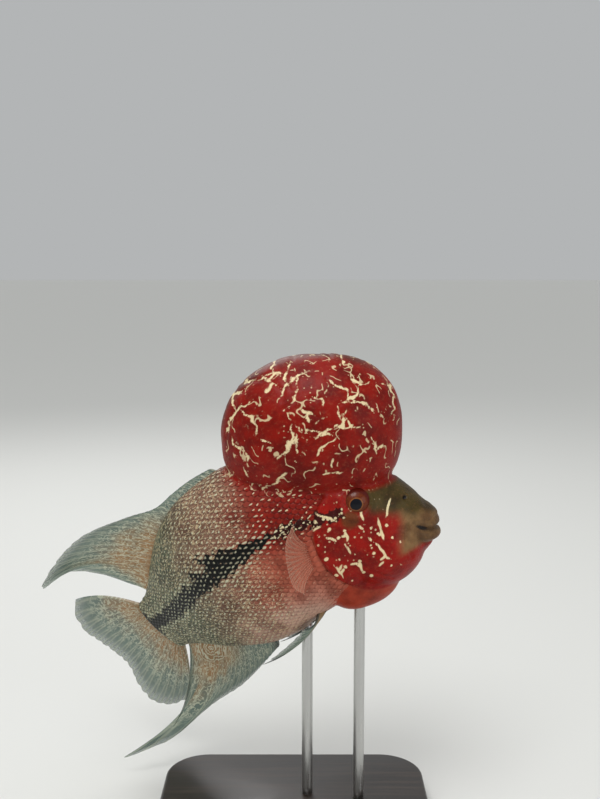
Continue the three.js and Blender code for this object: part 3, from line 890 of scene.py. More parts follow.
def relief(points):
    """How far out the skin stands from its first rough form, in millimetres."""
    s, u, v = points.T
    side = ease(np.abs(u), 5, 11)
    spots = points[:, [0, 2]]
    rise = np.zeros(len(points))
    for path, depth, half in FACE_GROOVES:
        rise -= depth * side * ease(path_distance(spots, [path]), half, 0)
    edge = head_edge(s, v)
    rim = side * body_share(points) * ease(v, 24, 16) * ease(s, 30, 40)
    rise -= GILL_GROOVE_DEPTH * rim * np.exp(-(((edge - 0.9) / 0.8) ** 2))
    rise -= MOUTH_GROOVE_DEPTH * ease(mouth_distance(points), 1.5, 0.2)
    lips = lip_distance(points)
    rise -= LIP_GROOVE_DEPTH * np.exp(-(((lips - 1.1) / 0.6) ** 2))
    nostril = spot_distance(spots, [(NOSTRIL["s"], NOSTRIL["v"])])
    rise -= NOSTRIL_DEPTH * side * ease(nostril, NOSTRIL["radius"], 0.4)
    rise += 0.35 * side * np.exp(-(((nostril - 2.1) / 0.6) ** 2))
    on_hump = ease(ball_distance(points, HUMP), 2, 0.3)
    rise += on_hump * (0.45 * lump_noise(points, 13, 3.1) - 0.45)
    rise -= VEIN_GROOVE_DEPTH * on_hump * ease(path_distance(spots, vein_lines), 1.8, 0)
    scaled = body_share(points) * ease(edge, 0, 3) * (1 - on_hump)
    return rise - SCALE_BED_DEPTH * scaled


def ground_colours(points, colours):
    """The skin's own colour at each point, with painted shade along the hump's crest, before its lines and
    pearls.
    """
    s, u, v = points.T
    on_hump = ease(ball_distance(points, HUMP), 3.5, 0.4)
    on_breast = ease(ball_distance(points, BREAST), 2, 0.2)
    on_lips = ease(lip_distance(points), 1.2, 0.4)
    head = ease(head_edge(s, v), 1, -1)
    mottle = lump_noise(points, 9, 1.7)

    def blend(base, colour, share):
        return base + (np.array(colour)[None, :] - base) * share[:, None]

    ground = np.tile(np.array(colours.shoulder), (len(points), 1)).astype(float)
    ground = blend(ground, colours.salmon, ease(v + 4 * mottle, 4, -8))
    ground = blend(ground, colours.flank, ease(s + 7 * mottle + 0.25 * v, 84, 116))
    ground = blend(ground, colours.tail, ease(s + 9 * mottle + 0.2 * v, 112, 156))
    low = ease(v + 5 * mottle, -22, -42) * ease(s, 62, 84) * ease(s, 160, 120)
    ground = blend(ground, colours.belly, low)
    ground = blend(ground, colours.cheek, head)
    rear = s + 2 * mottle - 7 * (-4 - v) / 20
    snout = head * ease(rear, 24, 16) * ease(v, -31, -27)
    ground = blend(ground, colours.lips, snout)
    over_eye = v + 0.44 * (36 - s) + 3 * mottle
    crown = ease(s + 3 * mottle, 41, 33) * ease(over_eye, -6, 1)
    under_eye = 0.7 * ease(np.hypot(s - 46, v + 1.5), 6, 3)
    ground = blend(ground, colours.crown, head * np.maximum(crown, under_eye))
    ground = blend(ground, colours.breast, on_breast * (1 - head))
    ground = blend(ground, colours.hump, on_hump)
    # Painted shade: a dark brown strip along the crest of the hump, where its outline falls into shade
    rim = on_hump * ease(np.abs(u), 14, 4) * ease(v, 58, 74)
    ground = blend(ground, shade(60, 44, 26), 0.6 * rim)
    ground = blend(ground, np.array(colours.lips) * LIP_SHADE, 0.9 * on_lips)
    return np.clip(ground, 0, 1)


def joined_mesh(name, shells):
    """One mesh from several closed shells, each with its faces turned outwards."""
    points, faces = [], []
    for shell_points, shell_faces in shells:
        part = mesh_of("part", shell_points, shell_faces)
        fix_normals(part)
        start = sum(map(len, points))
        points.append(mesh_points(part))
        faces += [[start + i for i in polygon.vertices] for polygon in part.polygons]
        bpy.data.meshes.remove(part)
    return mesh_of(name, np.vstack(points), faces)


def mark_mesh(mesh, points, colours):
    """Keeps the straight place, the ground colour and the marks on a mesh's vertices."""
    s, u, v = points.T
    drift = np.where(u < 0, 1.0, 0.0)
    bend_s = drift * 2.5 * np.sin(v / 7) + 1.3 * lump_noise(points, 3.6, 7.3)
    bend_v = drift * 2.0 * np.sin(s / 8) + 1.3 * lump_noise(points, 3.6, 2.9)
    spots = np.stack([s + bend_s, v + bend_v], -1)
    on_hump = ease(ball_distance(points, HUMP), 3, 0.4)
    store(mesh, "fish_place", points)
    ground = ground_colours(points, colours)
    store(mesh, "ground", np.hstack([ground, np.ones((len(points), 1))]))
    store(mesh, "hump", on_hump)
    store(mesh, "head", ease(head_edge(s, v), 1, -1) * (1 - on_hump))
    store(mesh, "vein", path_distance(spots, vein_lines, 0.5) + 6 * (1 - on_hump))
    near = points[:, [0, 2]] * 0.6 + spots * 0.4
    store(mesh, "cheek_line", path_distance(near, cheek_lines, 0.4) + 6 * ease(np.abs(u), 14, 8))
    store(mesh, "cheek_pearl", spot_distance(near, cheek_spots) + 6 * ease(np.abs(u), 12, 8))
    store(mesh, "eye_line", path_distance(spots, [EYE_LINE]) + 6 * on_hump)
    store(mesh, "flower", flower_distance(s, v))
    store(mesh, "mouth", mouth_distance(points))
    nostril = spot_distance(points[:, [0, 2]], [(NOSTRIL["s"], NOSTRIL["v"])])
    store(mesh, "nostril", nostril + 6 * ease(np.abs(u), 8, 4))
    store(mesh, "gill_edge", head_edge(s, v) + 6 * on_hump)


def flesh_colour(kit, colours, spot):
    """The fish's markings at a straight place, the same on the skin and on the scales."""
    cream, black = colour4(colours.cream), colour4(colours.black)
    on_hump, on_head = kit.number("hump"), kit.number("head")
    station, _, level = kit.parts(spot)
    coarse = kit.noise(spot, 0.09, 4.0, 0.6)
    fine = kit.noise(spot, 0.6, 3.0, 0.6)
    wobble = (kit.noise(spot, 0.5, 3.0, 0.6) - 0.5) * 1.6
    shadow = kit.band(coarse, 0.38, 0.68) * 0.8
    tone = kit.mix(shadow, kit.colour("ground"), (0.42, 0.34, 0.32, 1), "MULTIPLY")
    tone = kit.mix(kit.band(fine, 0.5, 0.75) * 0.12, tone, (0.45, 0.18, 0.08, 1))
    vein = kit.band(kit.number("vein") + wobble, 0.72, 0.28)
    broken = kit.band(kit.noise(spot, 0.22, 2.0), 0.34, 0.44)
    wave = kit.noise(kit.stretched(spot, (1.0, 1.0, 0.6)), 0.16, 1.0)
    patchy = kit.band(kit.noise(spot, 0.17, 2.0), 0.51, 0.57)
    thin = kit.band(abs(wave - 0.5), 0.028, 0.012) * patchy
    dots = kit.band(kit.cells(spot, 0.42), 0.2, 0.12) * kit.band(kit.noise(spot, 0.17, 2.0), 0.5, 0.6)
    lines = (vein * broken).most(thin * 0.7).most(dots * 0.6) * on_hump
    tone = kit.mix(lines * 0.9, tone, cream)
    torn = (kit.noise(spot, 0.3, 2.0) - 0.5) * 9
    eye_line = kit.band(kit.number("eye_line") + torn, 3.6, 2.4)
    tone = kit.mix(eye_line * 0.85, tone, black)
    cheek = kit.band(kit.number("cheek_line") + wobble * 0.4, 0.85, 0.4)
    uneven = (kit.noise(spot, 0.22, 1.0) - 0.5) * 1.8
    cheek = cheek.most(kit.band(kit.number("cheek_pearl") + uneven, 0.95, 0.55))
    dotted = kit.band(kit.cells(spot, 0.42), 0.36, 0.24) * eye_line
    pearled = kit.band(level, -28, -20) * kit.band(station, 26, 34) * on_head
    speckle = kit.band(kit.cells(spot, 0.3), 0.2, 0.12) * kit.band(fine, 0.42, 0.5) * pearled
    pearls = (cheek * on_head * 0.9).most(speckle * 0.6).most(dotted * 0.8)
    tone = kit.mix(pearls, tone, cream)
    flank_wave = kit.noise(kit.stretched(spot, (0.24, 0.3, 0.42)), 1.0, 2.0, 0.5, 0.6)
    worm = kit.band(abs(flank_wave - 0.5), 0.04, 0.015) * kit.band(station, 84, 104)
    return kit.mix(worm * 0.45, tone, cream)


class FLOWERHORN_OT_skin(bpy.types.Operator):
    """Builds the one skin of the fish, from the lips to the root of the tail fin"""

    bl_idname = "flowerhorn.skin"
    bl_label = "Skin"

    def execute(self, context):
        colours = context.scene.flowerhorn.skin
        mesh = self.rough_mesh(colours.voxel * (1))
        points = mesh_points(mesh)
        normals = np.empty(len(points) * 3)
        mesh.vertices.foreach_get("normal", normals)
        points = points + normals.reshape(-1, 3) * relief(points)[:, None]
        set_points(mesh, place(points))
        mark_mesh(mesh, points, colours)
        smooth_shade(mesh)
        skin = piece("skin", mesh)
        skin.data.materials.append(self.skin_material(colours))
        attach(skin, "root")
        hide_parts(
            "head",
            "lower_jaw",
            "gill_cover_right",
            "gill_cover_left",
            "breast",
            "nuchal_hump",
            "trunk",
            "tail",
        )
        return {"FINISHED"}

    def rough_mesh(self, voxel):
        """Body, balls, lips and eye rims joined into one even skin, still straight."""
        stations = np.linspace(BODY_STATIONS[0][0], BODY_STATIONS[-1][0], 230)
        body = body_rings(stations, 96)
        front = [stations[0] - 0.6, 0, -19.5]
        back = [stations[-1], 0, -1.4]
        shells = [capped_rings(body, front, back)]
        for ball in (HUMP, THROAT, BREAST):
            shells.append(capped_rings(*ball_rings(ball, 72, 40)))
        t = np.linspace(0, 1, 41)
        for side in (1, -1):
            path = lip_path(t, side)
            rings = bar_rings(path, lip_radius(t), 16)
            shells.append(capped_rings(rings, path[0], path[-1]))
        for side in SIDES.values():
            rings = eye_rim_rings(side)
            closed = np.concatenate([rings, rings[:1]])
            shells.append((closed.reshape(-1, 3), grid_faces(len(closed), rings.shape[1], True)))
        rough = piece("rough", joined_mesh("rough", shells))
        remesh = rough.modifiers.new("even", "REMESH")
        remesh.mode = "VOXEL"
        remesh.voxel_size = voxel
        smooth = rough.modifiers.new("soft", "SMOOTH")
        smooth.factor = 0.5
        smooth.iterations = 4
        mesh = plain_mesh(rough)
        drop(rough)
        mesh.name = "skin"
        return mesh

    def skin_material(self, colours):
        """Wet skin with the fish's markings, and painted shade in the mouth's gap and the nostril pits."""
        made, kit, shader = material("fish_skin", {"Coat Roughness": 0.2, "Specular IOR Level": 0.14})
        spot = kit.vector("fish_place")
        tone = flesh_colour(kit, colours, spot)
        ragged = kit.number("flower") + (kit.noise(spot, 0.35, 3.0) - 0.5) * 5
        on_body = kit.band(kit.number("gill_edge"), 0, 3)
        tone = kit.mix(kit.band(ragged, 0.8, -0.8) * on_body, tone, colour4(colours.black))
        # Painted shade: the gap between the lips and the nostril pits are darkened, as shade falls in them
        tone = kit.mix(kit.band(kit.number("mouth"), 1.0, 0.5), tone, PAINTED_HOLE_SHADE)
        tone = kit.mix(kit.band(kit.number("nostril"), 1.3, 0.8), tone, PAINTED_HOLE_SHADE)
        kit.feed(shader.inputs["Base Color"], tone)
        pores = kit.noise(spot, 1.6, 3.0, 0.6)
        kit.feed(shader.inputs["Roughness"], pores * 0.25 + 0.3)
        kit.feed(shader.inputs["Coat Weight"], kit.number("head") * 0.04 + 0.03)
        heights = pores * 0.6 + kit.cells(spot, 0.9) * 0.5 * kit.number("head")
        kit.feed(shader.inputs["Normal"], kit.bump(heights, 0.5, 0.0005))
        return made


def unit(vectors):
    """Vectors of length one."""
    return vectors / np.maximum(np.linalg.norm(vectors, axis=-1), 1e-9)[..., None]


def flank_directions(points, side):
    """Directions of the straight body's surface at points on it: towards the tail, and outwards."""
    s, u, v = points.T
    top, bottom, half = np.moveaxis(body_at(s), -1, 0)
    middle, height = (top + bottom) / 2, (top - bottom) / 2
    roundness = np.where(v > middle, BACK_ROUNDNESS, BELLY_ROUNDNESS)
    steep_u = np.sign(side) * (np.abs(u) / half) ** (roundness - 1) / half
    steep_v = np.sign(v - middle) * (np.abs(v - middle) / height) ** (roundness - 1) / height
    after_top, after_bottom, _ = np.moveaxis(body_at(s + 1), -1, 0)
    share = (v - middle) / height
    level = (after_top + after_bottom) / 2 + share * (after_top - after_bottom) / 2
    out = side * flank(s + 1, level)
    tail_ward = unit(np.stack([np.ones_like(s), out - u, level - v], -1))
    outward = unit(np.stack([0 * s, steep_u, steep_v], -1))
    outward = outward - tail_ward * np.sum(outward * tail_ward, axis=1)[:, None]
    return tail_ward, unit(outward)


def scale_roots(side):
    """Roots of the scales on one flank: straight places and the spacing at each."""
    arcs = np.linspace(0, 1, 241)
    roots, spacing, unwrap = [], [], []
    widest = 0.0
    s = SCALE_FRONT_S
    column = 0
    sections = []
    while s < SCALE_REAR_S:
        top, bottom, half = body_at(s)
        level = bottom + (top - bottom) * (0.5 - 0.5 * np.cos(np.pi * arcs))
        out = flank(np.full_like(level, s), level)
        run = np.concatenate([[0], np.cumsum(np.hypot(np.diff(level), np.diff(out)))])
        widest = max(widest, run[-1])
        share = run[-1] / SCALE_FULL_GIRTH
        fit = 1 - SCALE_SHRINK + SCALE_SHRINK * min(1, share)
        sections.append((s, level, out, run, fit, column))
        s += SCALE_STEP * fit
        column += 1
    for s, level, out, run, fit, column in sections:
        pitch = SCALE_PITCH * fit
        middle = np.interp(MIDLINE_LEVEL, level, run)
        shift = 0.5 * (column % 2)
        first = math.ceil(-middle / pitch - shift)
        last = math.floor((run[-1] - middle) / pitch - shift)
        for row in range(first, last + 1):
            at = middle + (row + shift) * pitch
            v = float(np.interp(at, run, level))
            u = float(np.interp(at, run, out))
            roots.append((s, side * u, v))
            spacing.append(fit)
            back = (s - UNWRAP_FRONT_S) / UNWRAP_LENGTH * UNWRAP_SPAN + UNWRAP_MARGIN
            up = at / widest * UNWRAP_SPAN + UNWRAP_MARGIN
            unwrap.append((back, up, 0.0))
    roots, spacing, unwrap = np.array(roots), np.array(spacing), np.array(unwrap)
    clear = (
        (ball_distance(roots, HUMP) > 0.6)
        & (ball_distance(roots, BREAST) > 0.4)
        & (ball_distance(roots, THROAT) > 0.4)
        & (gill_distance(roots[:, 0], roots[:, 2]) > 1.2)
    )
    return roots[clear], spacing[clear], unwrap[clear]


def scale_plate():
    """One scale: a curved plate, walled round its sides and rear, open below and at its root."""
    along = np.linspace(0, 1, PLATE_ROWS)
    across = np.linspace(-1, 1, PLATE_COLUMNS)
    a, b = np.meshgrid(along, across, indexing="ij")
    x = a - 0.34 * b * b * a - 0.5
    y = 0.5 * b * (0.72 + 0.28 * np.sin(np.pi * a))
    z = 0.1 * a - 0.055 * b * b - 0.09 + 0.05 * np.exp(-((a - 0.66) ** 2 + 0.16 * b * b) / 0.03)
    top = np.stack([x, y, z], -1).reshape(-1, 3)
    under = top - [0, 0, 0.07]
    points = np.vstack([top, under])
    faces = [list(face) for face in grid_faces(PLATE_ROWS, PLATE_COLUMNS)]
    count = len(top)
    rear_start = count - PLATE_COLUMNS
    edge = list(range(0, rear_start, PLATE_COLUMNS))
    edge += range(rear_start, count)
    edge += range(rear_start - 1, 0, -PLATE_COLUMNS)
    for start, end in zip(edge[:-1], edge[1:]):
        faces.append([start, end, end + count, start + count])
    mesh = mesh_of("scale_plate", points, faces)
    used = sorted({i for face in faces for i in face})
    mesh.clear_geometry()
    index = {old: new for new, old in enumerate(used)}
    mesh.from_pydata(points[used].tolist(), [], [[index[i] for i in face] for face in faces])
    fix_normals(mesh)
    up = sum(polygon.normal.z for polygon in mesh.polygons)
    if up < 0:
        mesh.flip_normals()
    local = np.vstack([np.stack([a, b, 0 * a], -1).reshape(-1, 3)] * 2)[used]
    store(mesh, "on_scale", local)
    return piece("scale_plate", mesh)


def scale_tree():
    """Geometry nodes that set a scale at every root, turned to lie along the body."""
    tree = bpy.data.node_groups.new("Flank Scales", "GeometryNodeTree")
    tree.interface.new_socket("Geometry", in_out="INPUT", socket_type="NodeSocketGeometry")
    for name, kind in (
        ("Plate", "NodeSocketObject"),
        ("Length", "NodeSocketFloat"),
        ("Width", "NodeSocketFloat"),
        ("Height", "NodeSocketFloat"),
        ("Seed", "NodeSocketInt"),
        ("Material", "NodeSocketMaterial"),
    ):
        tree.interface.new_socket(name, in_out="INPUT", socket_type=kind)
    tree.interface.new_socket("Geometry", in_out="OUTPUT", socket_type="NodeSocketGeometry")
    kit = Kit(tree)
    entry = tree.nodes.new("NodeGroupInput")
    given = {socket.name: Value(kit, socket) for socket in entry.outputs}

    def kept(name, kind):
        return kit.make("GeometryNodeInputNamedAttribute", {"data_type": kind}, {"Name": name})

    plate = kit.make("GeometryNodeObjectInfo", inputs={"Object": given["Plate"]}, output="Geometry")
    facing = kit.make(
        "FunctionNodeAlignRotationToVector", {"axis": "Z"}, {"Vector": kept("facing", "FLOAT_VECTOR")}
    )
    lying = kit.make(
        "FunctionNodeAlignRotationToVector",
        {"axis": "X", "pivot_axis": "Z"},
        {"Rotation": facing, "Vector": kept("lie", "FLOAT_VECTOR")},
    )
    spacing = kept("spacing", "FLOAT")
    vary = kit.make(
        "FunctionNodeRandomValue",
        {"data_type": "FLOAT"},
        {2: 0.94, 3: 1.06, "Seed": given["Seed"]},
        output=1,
    )
    sizes = kit.joined(
        spacing * vary * given["Length"], spacing * given["Width"], spacing * given["Height"]
    )
    spread = kit.make(
        "GeometryNodeInstanceOnPoints",
        inputs={"Points": given["Geometry"], "Instance": plate, "Rotation": lying, "Scale": sizes},
    )
    solid = kit.make("GeometryNodeRealizeInstances", inputs={"Geometry": spread})
    patch = kit.stretched(kept("on_scale", "FLOAT_VECTOR"), (BAKE_PATCH, BAKE_PATCH / 2, 0))
    spot = kit.added(kept("unwrap", "FLOAT_VECTOR"), patch)
    mapped = kit.make(
        "GeometryNodeStoreNamedAttribute",
        {"data_type": "FLOAT2", "domain": "CORNER"},
        {"Geometry": solid, "Name": "OFBake", "Value": spot},
    )
    finished = kit.make(
        "GeometryNodeSetMaterial", inputs={"Geometry": mapped, "Material": given["Material"]}
    )
    leave = tree.nodes.new("NodeGroupOutput")
    tree.links.new(finished.socket, leave.inputs[0])
    return tree


class FLOWERHORN_OT_scales(bpy.types.Operator):
    """Lays the scales over both flanks"""

    bl_idname = "flowerhorn.scales"
    bl_label = "Scales"

    def execute(self, context):
        settings = context.scene.flowerhorn.scales
        colours = context.scene.flowerhorn.skin
        look = self.scale_material(settings, colours)
        plate = scale_plate()
        plate.data.materials.append(look)
        tree = scale_tree()
        for name, side in SIDES.items():
            self.flank_scales(name, side, settings, colours, look, plate, tree)
        drop(plate)
        return {"FINISHED"}

    def flank_scales(self, name, side, settings, colours, look, plate, tree):
        """Makes the scales of one flank as one mesh."""
        roots, spacing, unwrap = scale_roots(side)
        here = place(roots)
        tail_ward, outward = flank_directions(roots, side)
        lie = place(roots + 0.5 * tail_ward) - here
        facing = place(roots + 0.5 * outward) - here
        mesh = mesh_of("roots", here, [])
        mark_mesh(mesh, roots, colours)
        store(mesh, "lie", unit(lie))
        store(mesh, "facing", unit(facing))
        store(mesh, "spacing", spacing)
        store(mesh, "unwrap", unwrap)
        draw = np.random.default_rng(settings.seed + side)
        store(mesh, "chance", draw.random(len(roots)))
        store(mesh, "chance_two", draw.random(len(roots)))
        holder = piece("roots", mesh)
        modifier = holder.modifiers.new("scales", "NODES")
        modifier.node_group = tree
        values = {
            "Plate": plate,
            "Length": settings.length * SCALE_STEP * MM,
            "Width": settings.width * SCALE_PITCH * MM,
            "Height": SCALE_STEP * MM,
            "Seed": settings.seed,
            "Material": look,
        }
        for item in tree.interface.items_tree:
            if item.in_out == "INPUT" and item.name in values:
                modifier[item.identifier] = values[item.name]
        finished = plain_mesh(holder)
        drop(holder)
        if len(finished.polygons) == 0:
            raise RuntimeError("The scales came out empty")
        finished.name = f"scales_{name}"
        smooth_shade(finished)
        coat = piece(f"scales_{name}", finished)
        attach(coat, "root")

    def scale_material(self, settings, colours):
        """Glossy scales, each with a pearl in its middle."""
        made, kit, shader = material("fish_scales", {"Coat Roughness": 0.2, "Specular IOR Level": 0.15})
        on_scale = kit.vector("on_scale")
        along, across, _ = kit.parts(on_scale)
        reach_back = settings.length * SCALE_STEP
        reach_up = settings.width * SCALE_PITCH / 2
        offset = kit.joined((along - 0.5) * reach_back, 0.0, across * reach_up)
        spot = kit.added(kit.vector("fish_place"), offset)
        tone = flesh_colour(kit, colours, spot)
        chance, other = kit.number("chance"), kit.number("chance_two")
        station, _, level = kit.parts(spot)
        front = kit.band(station, 96, 70)
        bare = kit.band(level, 2, -6) * kit.band(station, 108, 84)
        bare = bare.most(kit.band(level, -34, -44) * kit.band(station, 130, 105))
        dark_edge = kit.band(along, 0.8, 1.0).most(kit.band(abs(across), 0.65, 1.0))
        tone = kit.mix(dark_edge * (0.5 - bare * 0.38), tone, (0.02, 0.01, 0.008, 1))
        reach = kit.length(
            kit.joined(
                (along - 0.62 - other * 0.16) * (2.3 - chance * 1.0),
                (across + (other - 0.5) * 0.8) * (0.9 + chance * 0.7),
                0.0,
            )
        )
        torn = (kit.noise(spot, 0.35, 3.0) - 0.5) * 5
        flower = kit.number("flower") + (chance - 0.5) * 1.6 + torn
        inside = kit.band(flower, 0.7, -0.3)
        outline = kit.band(abs(flower - 1.9), 1.5, 0.4)
        tail_end = kit.band(station, 172, 190)
        tone = kit.mix(inside * kit.band(reach, 0.1, 0.3).most(tail_end), tone, colour4(colours.black))
        ragged = (kit.noise(kit.joined(along * 2, across * 2, chance * 40), 1.0, 2.0) - 0.5) * 0.8
        size = 0.24 + chance * 0.12 + outline * 0.16 + inside * 0.06 - bare * 0.14 - front * 0.06
        pearl = kit.band(reach + ragged - size, 0.1, -0.06)
        present = kit.band(other - front * 0.45, 0.05, 0.2)
        solid = inside * (0.35 + tail_end * 0.6)
        shown = (0.45 + other * 0.5) * present * (1 - solid) * (1 - bare * 0.75)
        pale = kit.mix(front * 0.6, colour4(settings.pearl), colour4(colours.cream))
        tone = kit.mix(pearl * shown.most(outline * 0.85) * 0.85, tone, pale)
        kit.feed(shader.inputs["Base Color"], tone)
        kit.feed(shader.inputs["Roughness"], kit.noise(spot, 2.0) * 0.2 + 0.3)
        kit.feed(shader.inputs["Coat Weight"], pearl * 0.2 + 0.03)
        return made


# Fins: along the root from 0 to 1, the edge's station, side and level, and how far the fin bows out
DORSAL_EDGE = [
    [0, 101, 0, 49.5],
    [0.12, 112, 0, 50.3],
    [0.25, 124, 0, 50],
    [0.37, 138, 0.5, 50],
    [0.48, 154, 2, 57.5],
    [0.6, 182, 6, 69],
    [0.72, 212, 12, 71],
    [0.8, 232, 18, 67],
    [0.87, 208, 12, 61],
    [0.94, 196, 6, 46],
    [1, 188, 2, 28],
]
DORSAL_BOW = [
    [0, 0, 0, 2],
    [0.6, 0, 0, 3],
    [0.72, 0, 0, 6],
    [0.8, 0, 0, 11],
    [0.87, 0, 0, 6],
    [0.94, 0, 0, 1],
    [1, 0, 0, 0],
]
ANAL_EDGE = [
    [0, 134, 0, -54.5],
    [0.2, 157, 0, -58],
    [0.4, 188, 3, -60],
    [0.55, 210, 9.5, -56.5],
    [0.68, 229, 20, -54],
    [0.76, 245, 32, -50.8],
    [0.82, 260, 50, -37.5],
    [0.87, 243, 31, -48.4],
    [0.91, 230, 20, -46.2],
    [0.95, 217, 12, -39.5],
    [0.98, 206, 6, -31],
    [1, 199, 2, -24.5],
]
ANAL_BOW = [
    [0, 0, 0, -2],
    [0.4, 0, 0, -3],
    [0.55, 0, 0, -5],
    [0.68, 0, 0, -8.5],
    [0.76, 0, 0, -12],
    [0.82, 0, 0, -15],
    [0.87, 0, 0, -8],
    [0.92, 0, 0, -2],
    [1, 0, 0, 0],
]
CAUDAL_EDGE = [
    [0, 240, 3, -45],
    [0.1, 251, 6, -40.5],
    [0.22, 257, 9, -30],
    [0.33, 256, 8, -18],
    [0.47, 250, 6, -5],
    [0.6, 249, 6, 6],
    [0.75, 252, 6, 20],
    [0.88, 254, 6, 32],
    [0.96, 247, 6, 43],
    [1, 236, 5, 48],
]
PECTORAL_EDGE = [
    [0, 66, 56, 14],
    [0.25, 71, 61, 7],
    [0.5, 74, 62, -4],
    [0.75, 76, 58, -15],
    [1, 75, 50, -23],
]
PELVIC_EDGE = [
    [0, 143, 11, -55.5],
    [0.25, 128, 11.8, -55],
    [0.6, 110, 13.5, -52.5],
    [1, 95, 15.2, -48.8],
]


def columns(*values):
    """Rows of three coordinates from numbers and arrays of one length."""
    return np.stack(np.broadcast_arrays(*values), -1)


def mirrored(rows, side):
    """A fin's table for one side of the fish."""
    return [[t, s, side * u, v] for t, s, u, v in rows]


def fin_plans():
    """The seven fins: root, edge, bow, rays and thickness of each."""
    plans = {
        "dorsal_fin": {
            "rays": 27,
            "spiny": 0.42,
            "root": lambda t: columns(96 + 87 * t, 0 * t, body_at(96 + 87 * t)[:, 0] - FIN_SINK),
            "edge": curve_through(DORSAL_EDGE),
            "bow": curve_through(DORSAL_BOW),
            "curl": 1,
            "half": (0.62, 0.12),
            "look": "dorsal",
        },
        "anal_fin": {
            "rays": 20,
            "spiny": 0.2,
            "root": lambda t: columns(128 + 66 * t, 0 * t, body_at(128 + 66 * t)[:, 1] + FIN_SINK),
            "edge": curve_through(ANAL_EDGE),
            "bow": curve_through(ANAL_BOW),
            "curl": 1,
            "half": (0.62, 0.12),
            "look": "anal",
        },
        "caudal_fin": {
            "rays": 17,
            "spiny": 0,
            "root": lambda t: columns(STANDARD_LENGTH - 2 + 0 * t, 0 * t, -18.5 + 34.2 * t),
            "edge": curve_through(CAUDAL_EDGE),
            "bow": lambda t: columns(0 * t, 0 * t, 8 * (t - 0.45)),
            "curl": 1,
            "half": (1.5, 0.12),
            "look": "caudal",
        },
    }
    for name, side in SIDES.items():
        plans[f"pectoral_fin_{name}"] = {
            "rays": 13,
            "spiny": 0,
            "root": lambda t, side=side: columns(69.5 + t, side * 22, -8 - 10 * t),
            "edge": curve_through(mirrored(PECTORAL_EDGE, side)),
            "bow": lambda t: columns(2 + 0 * t, 0 * t, 0 * t),
            "curl": 0,
            "half": (0.7, 0.1),
            "look": "pectoral",
        }
        plans[f"pelvic_fin_{name}"] = {
            "rays": 6,
            "spiny": 0.12,
            "root": lambda t, side=side: columns(74 + 8 * t, side * (7 + 2 * t), -44 + 2 * t),
            "edge": curve_through(mirrored(PELVIC_EDGE, side)),
            "bow": lambda t, side=side: columns(0 * t, side * 1.5, -6 + 2 * t),
            "curl": 0,
            "half": (0.9, 0.14),
            "look": "pelvic",
        }
    return plans


def fin_mesh(name, plan, per_ray, steps):
    """A closed thin fin whose rays stand out of both its faces and part in two near the edge."""
    count = plan["rays"] * per_ray + 1
    t = np.linspace(0, 1, count)
    phase = t * plan["rays"]
    off_ray = np.abs(phase - np.round(phase))
    uneven = 0.5 + 0.5 * np.sin(phase * 2.3) * np.sin(phase * 0.7 + 1)
    notch = np.where(t < plan["spiny"], 0.07, 0.006 + 0.022 * uneven)
    reach = 1 - notch * ease(off_ray, 0.05, 0.5)
    q = np.linspace(0, 1, steps + 1)[None, :] * reach[:, None]
    root, edge, bow = plan["root"](t)[:, None], plan["edge"](t)[:, None], plan["bow"](t)[:, None]
    part = q[..., None]
    middle = root + (edge - root) * part + bow * 4 * part * (1 - part)
    middle[..., 1] -= (edge - root)[..., 1] * (q - q * q) * plan["curl"]
    spots = place(middle)
    normal = np.cross(np.gradient(spots, axis=1), np.gradient(spots, axis=0))
    normal /= np.maximum(np.linalg.norm(normal, axis=2), 1e-12)[..., None]
    branch = np.where(t < plan["spiny"], 0, 0.24)[:, None] * ease(q, 0.4, 1)
    from_ray = np.abs(off_ray[:, None] - branch)
    ray = ease(from_ray, 0.2 - 0.08 * q, 0.04)
    thick, thin = plan["half"]
    half = (thick + (thin - thick) * q**0.6) * (0.55 + 0.45 * ray) + 0.2 * ray * (1 - 0.55 * q)
    half = half * (1 - 0.5 * ease(q / reach[:, None], 0.9, 1))
    shift = normal * (half * MM)[..., None]
    points = np.vstack([(spots + shift).reshape(-1, 3), (spots - shift).reshape(-1, 3)])
    row = steps + 1
    other = count * row
    upper = grid_faces(count, row)
    faces = np.vstack([upper, upper[:, ::-1] + other])
    border = [i * row for i in range(count)]
    border += [(count - 1) * row + k for k in range(1, row)]
    border += [i * row + steps for i in range(count - 2, -1, -1)]
    border += [k for k in range(steps - 1, 0, -1)]
    rim = [[a, b, b + other, a + other] for a, b in zip(border, border[1:] + border[:1])]
    mesh = mesh_of(name, points, np.vstack([faces, rim]))
    fix_normals(mesh)
    along = np.linalg.norm(np.diff(spots, axis=1), axis=2) / MM
    along = np.hstack([np.zeros((count, 1)), np.cumsum(along, axis=1)])
    breadth = np.linalg.norm(np.diff(spots[:, steps // 2], axis=0), axis=1).sum() / MM
    place_on = columns(t[:, None] * breadth, along, q).reshape(-1, 3)
    share_on = columns(t[:, None], q, 0 * q).reshape(-1, 3)
    store(mesh, "fin_place", np.vstack([place_on, place_on]))
    store(mesh, "fin_share", np.vstack([share_on, share_on]))
    store(mesh, "ray", np.tile(ray.ravel(), 2))
    smooth_shade(mesh)
    return mesh


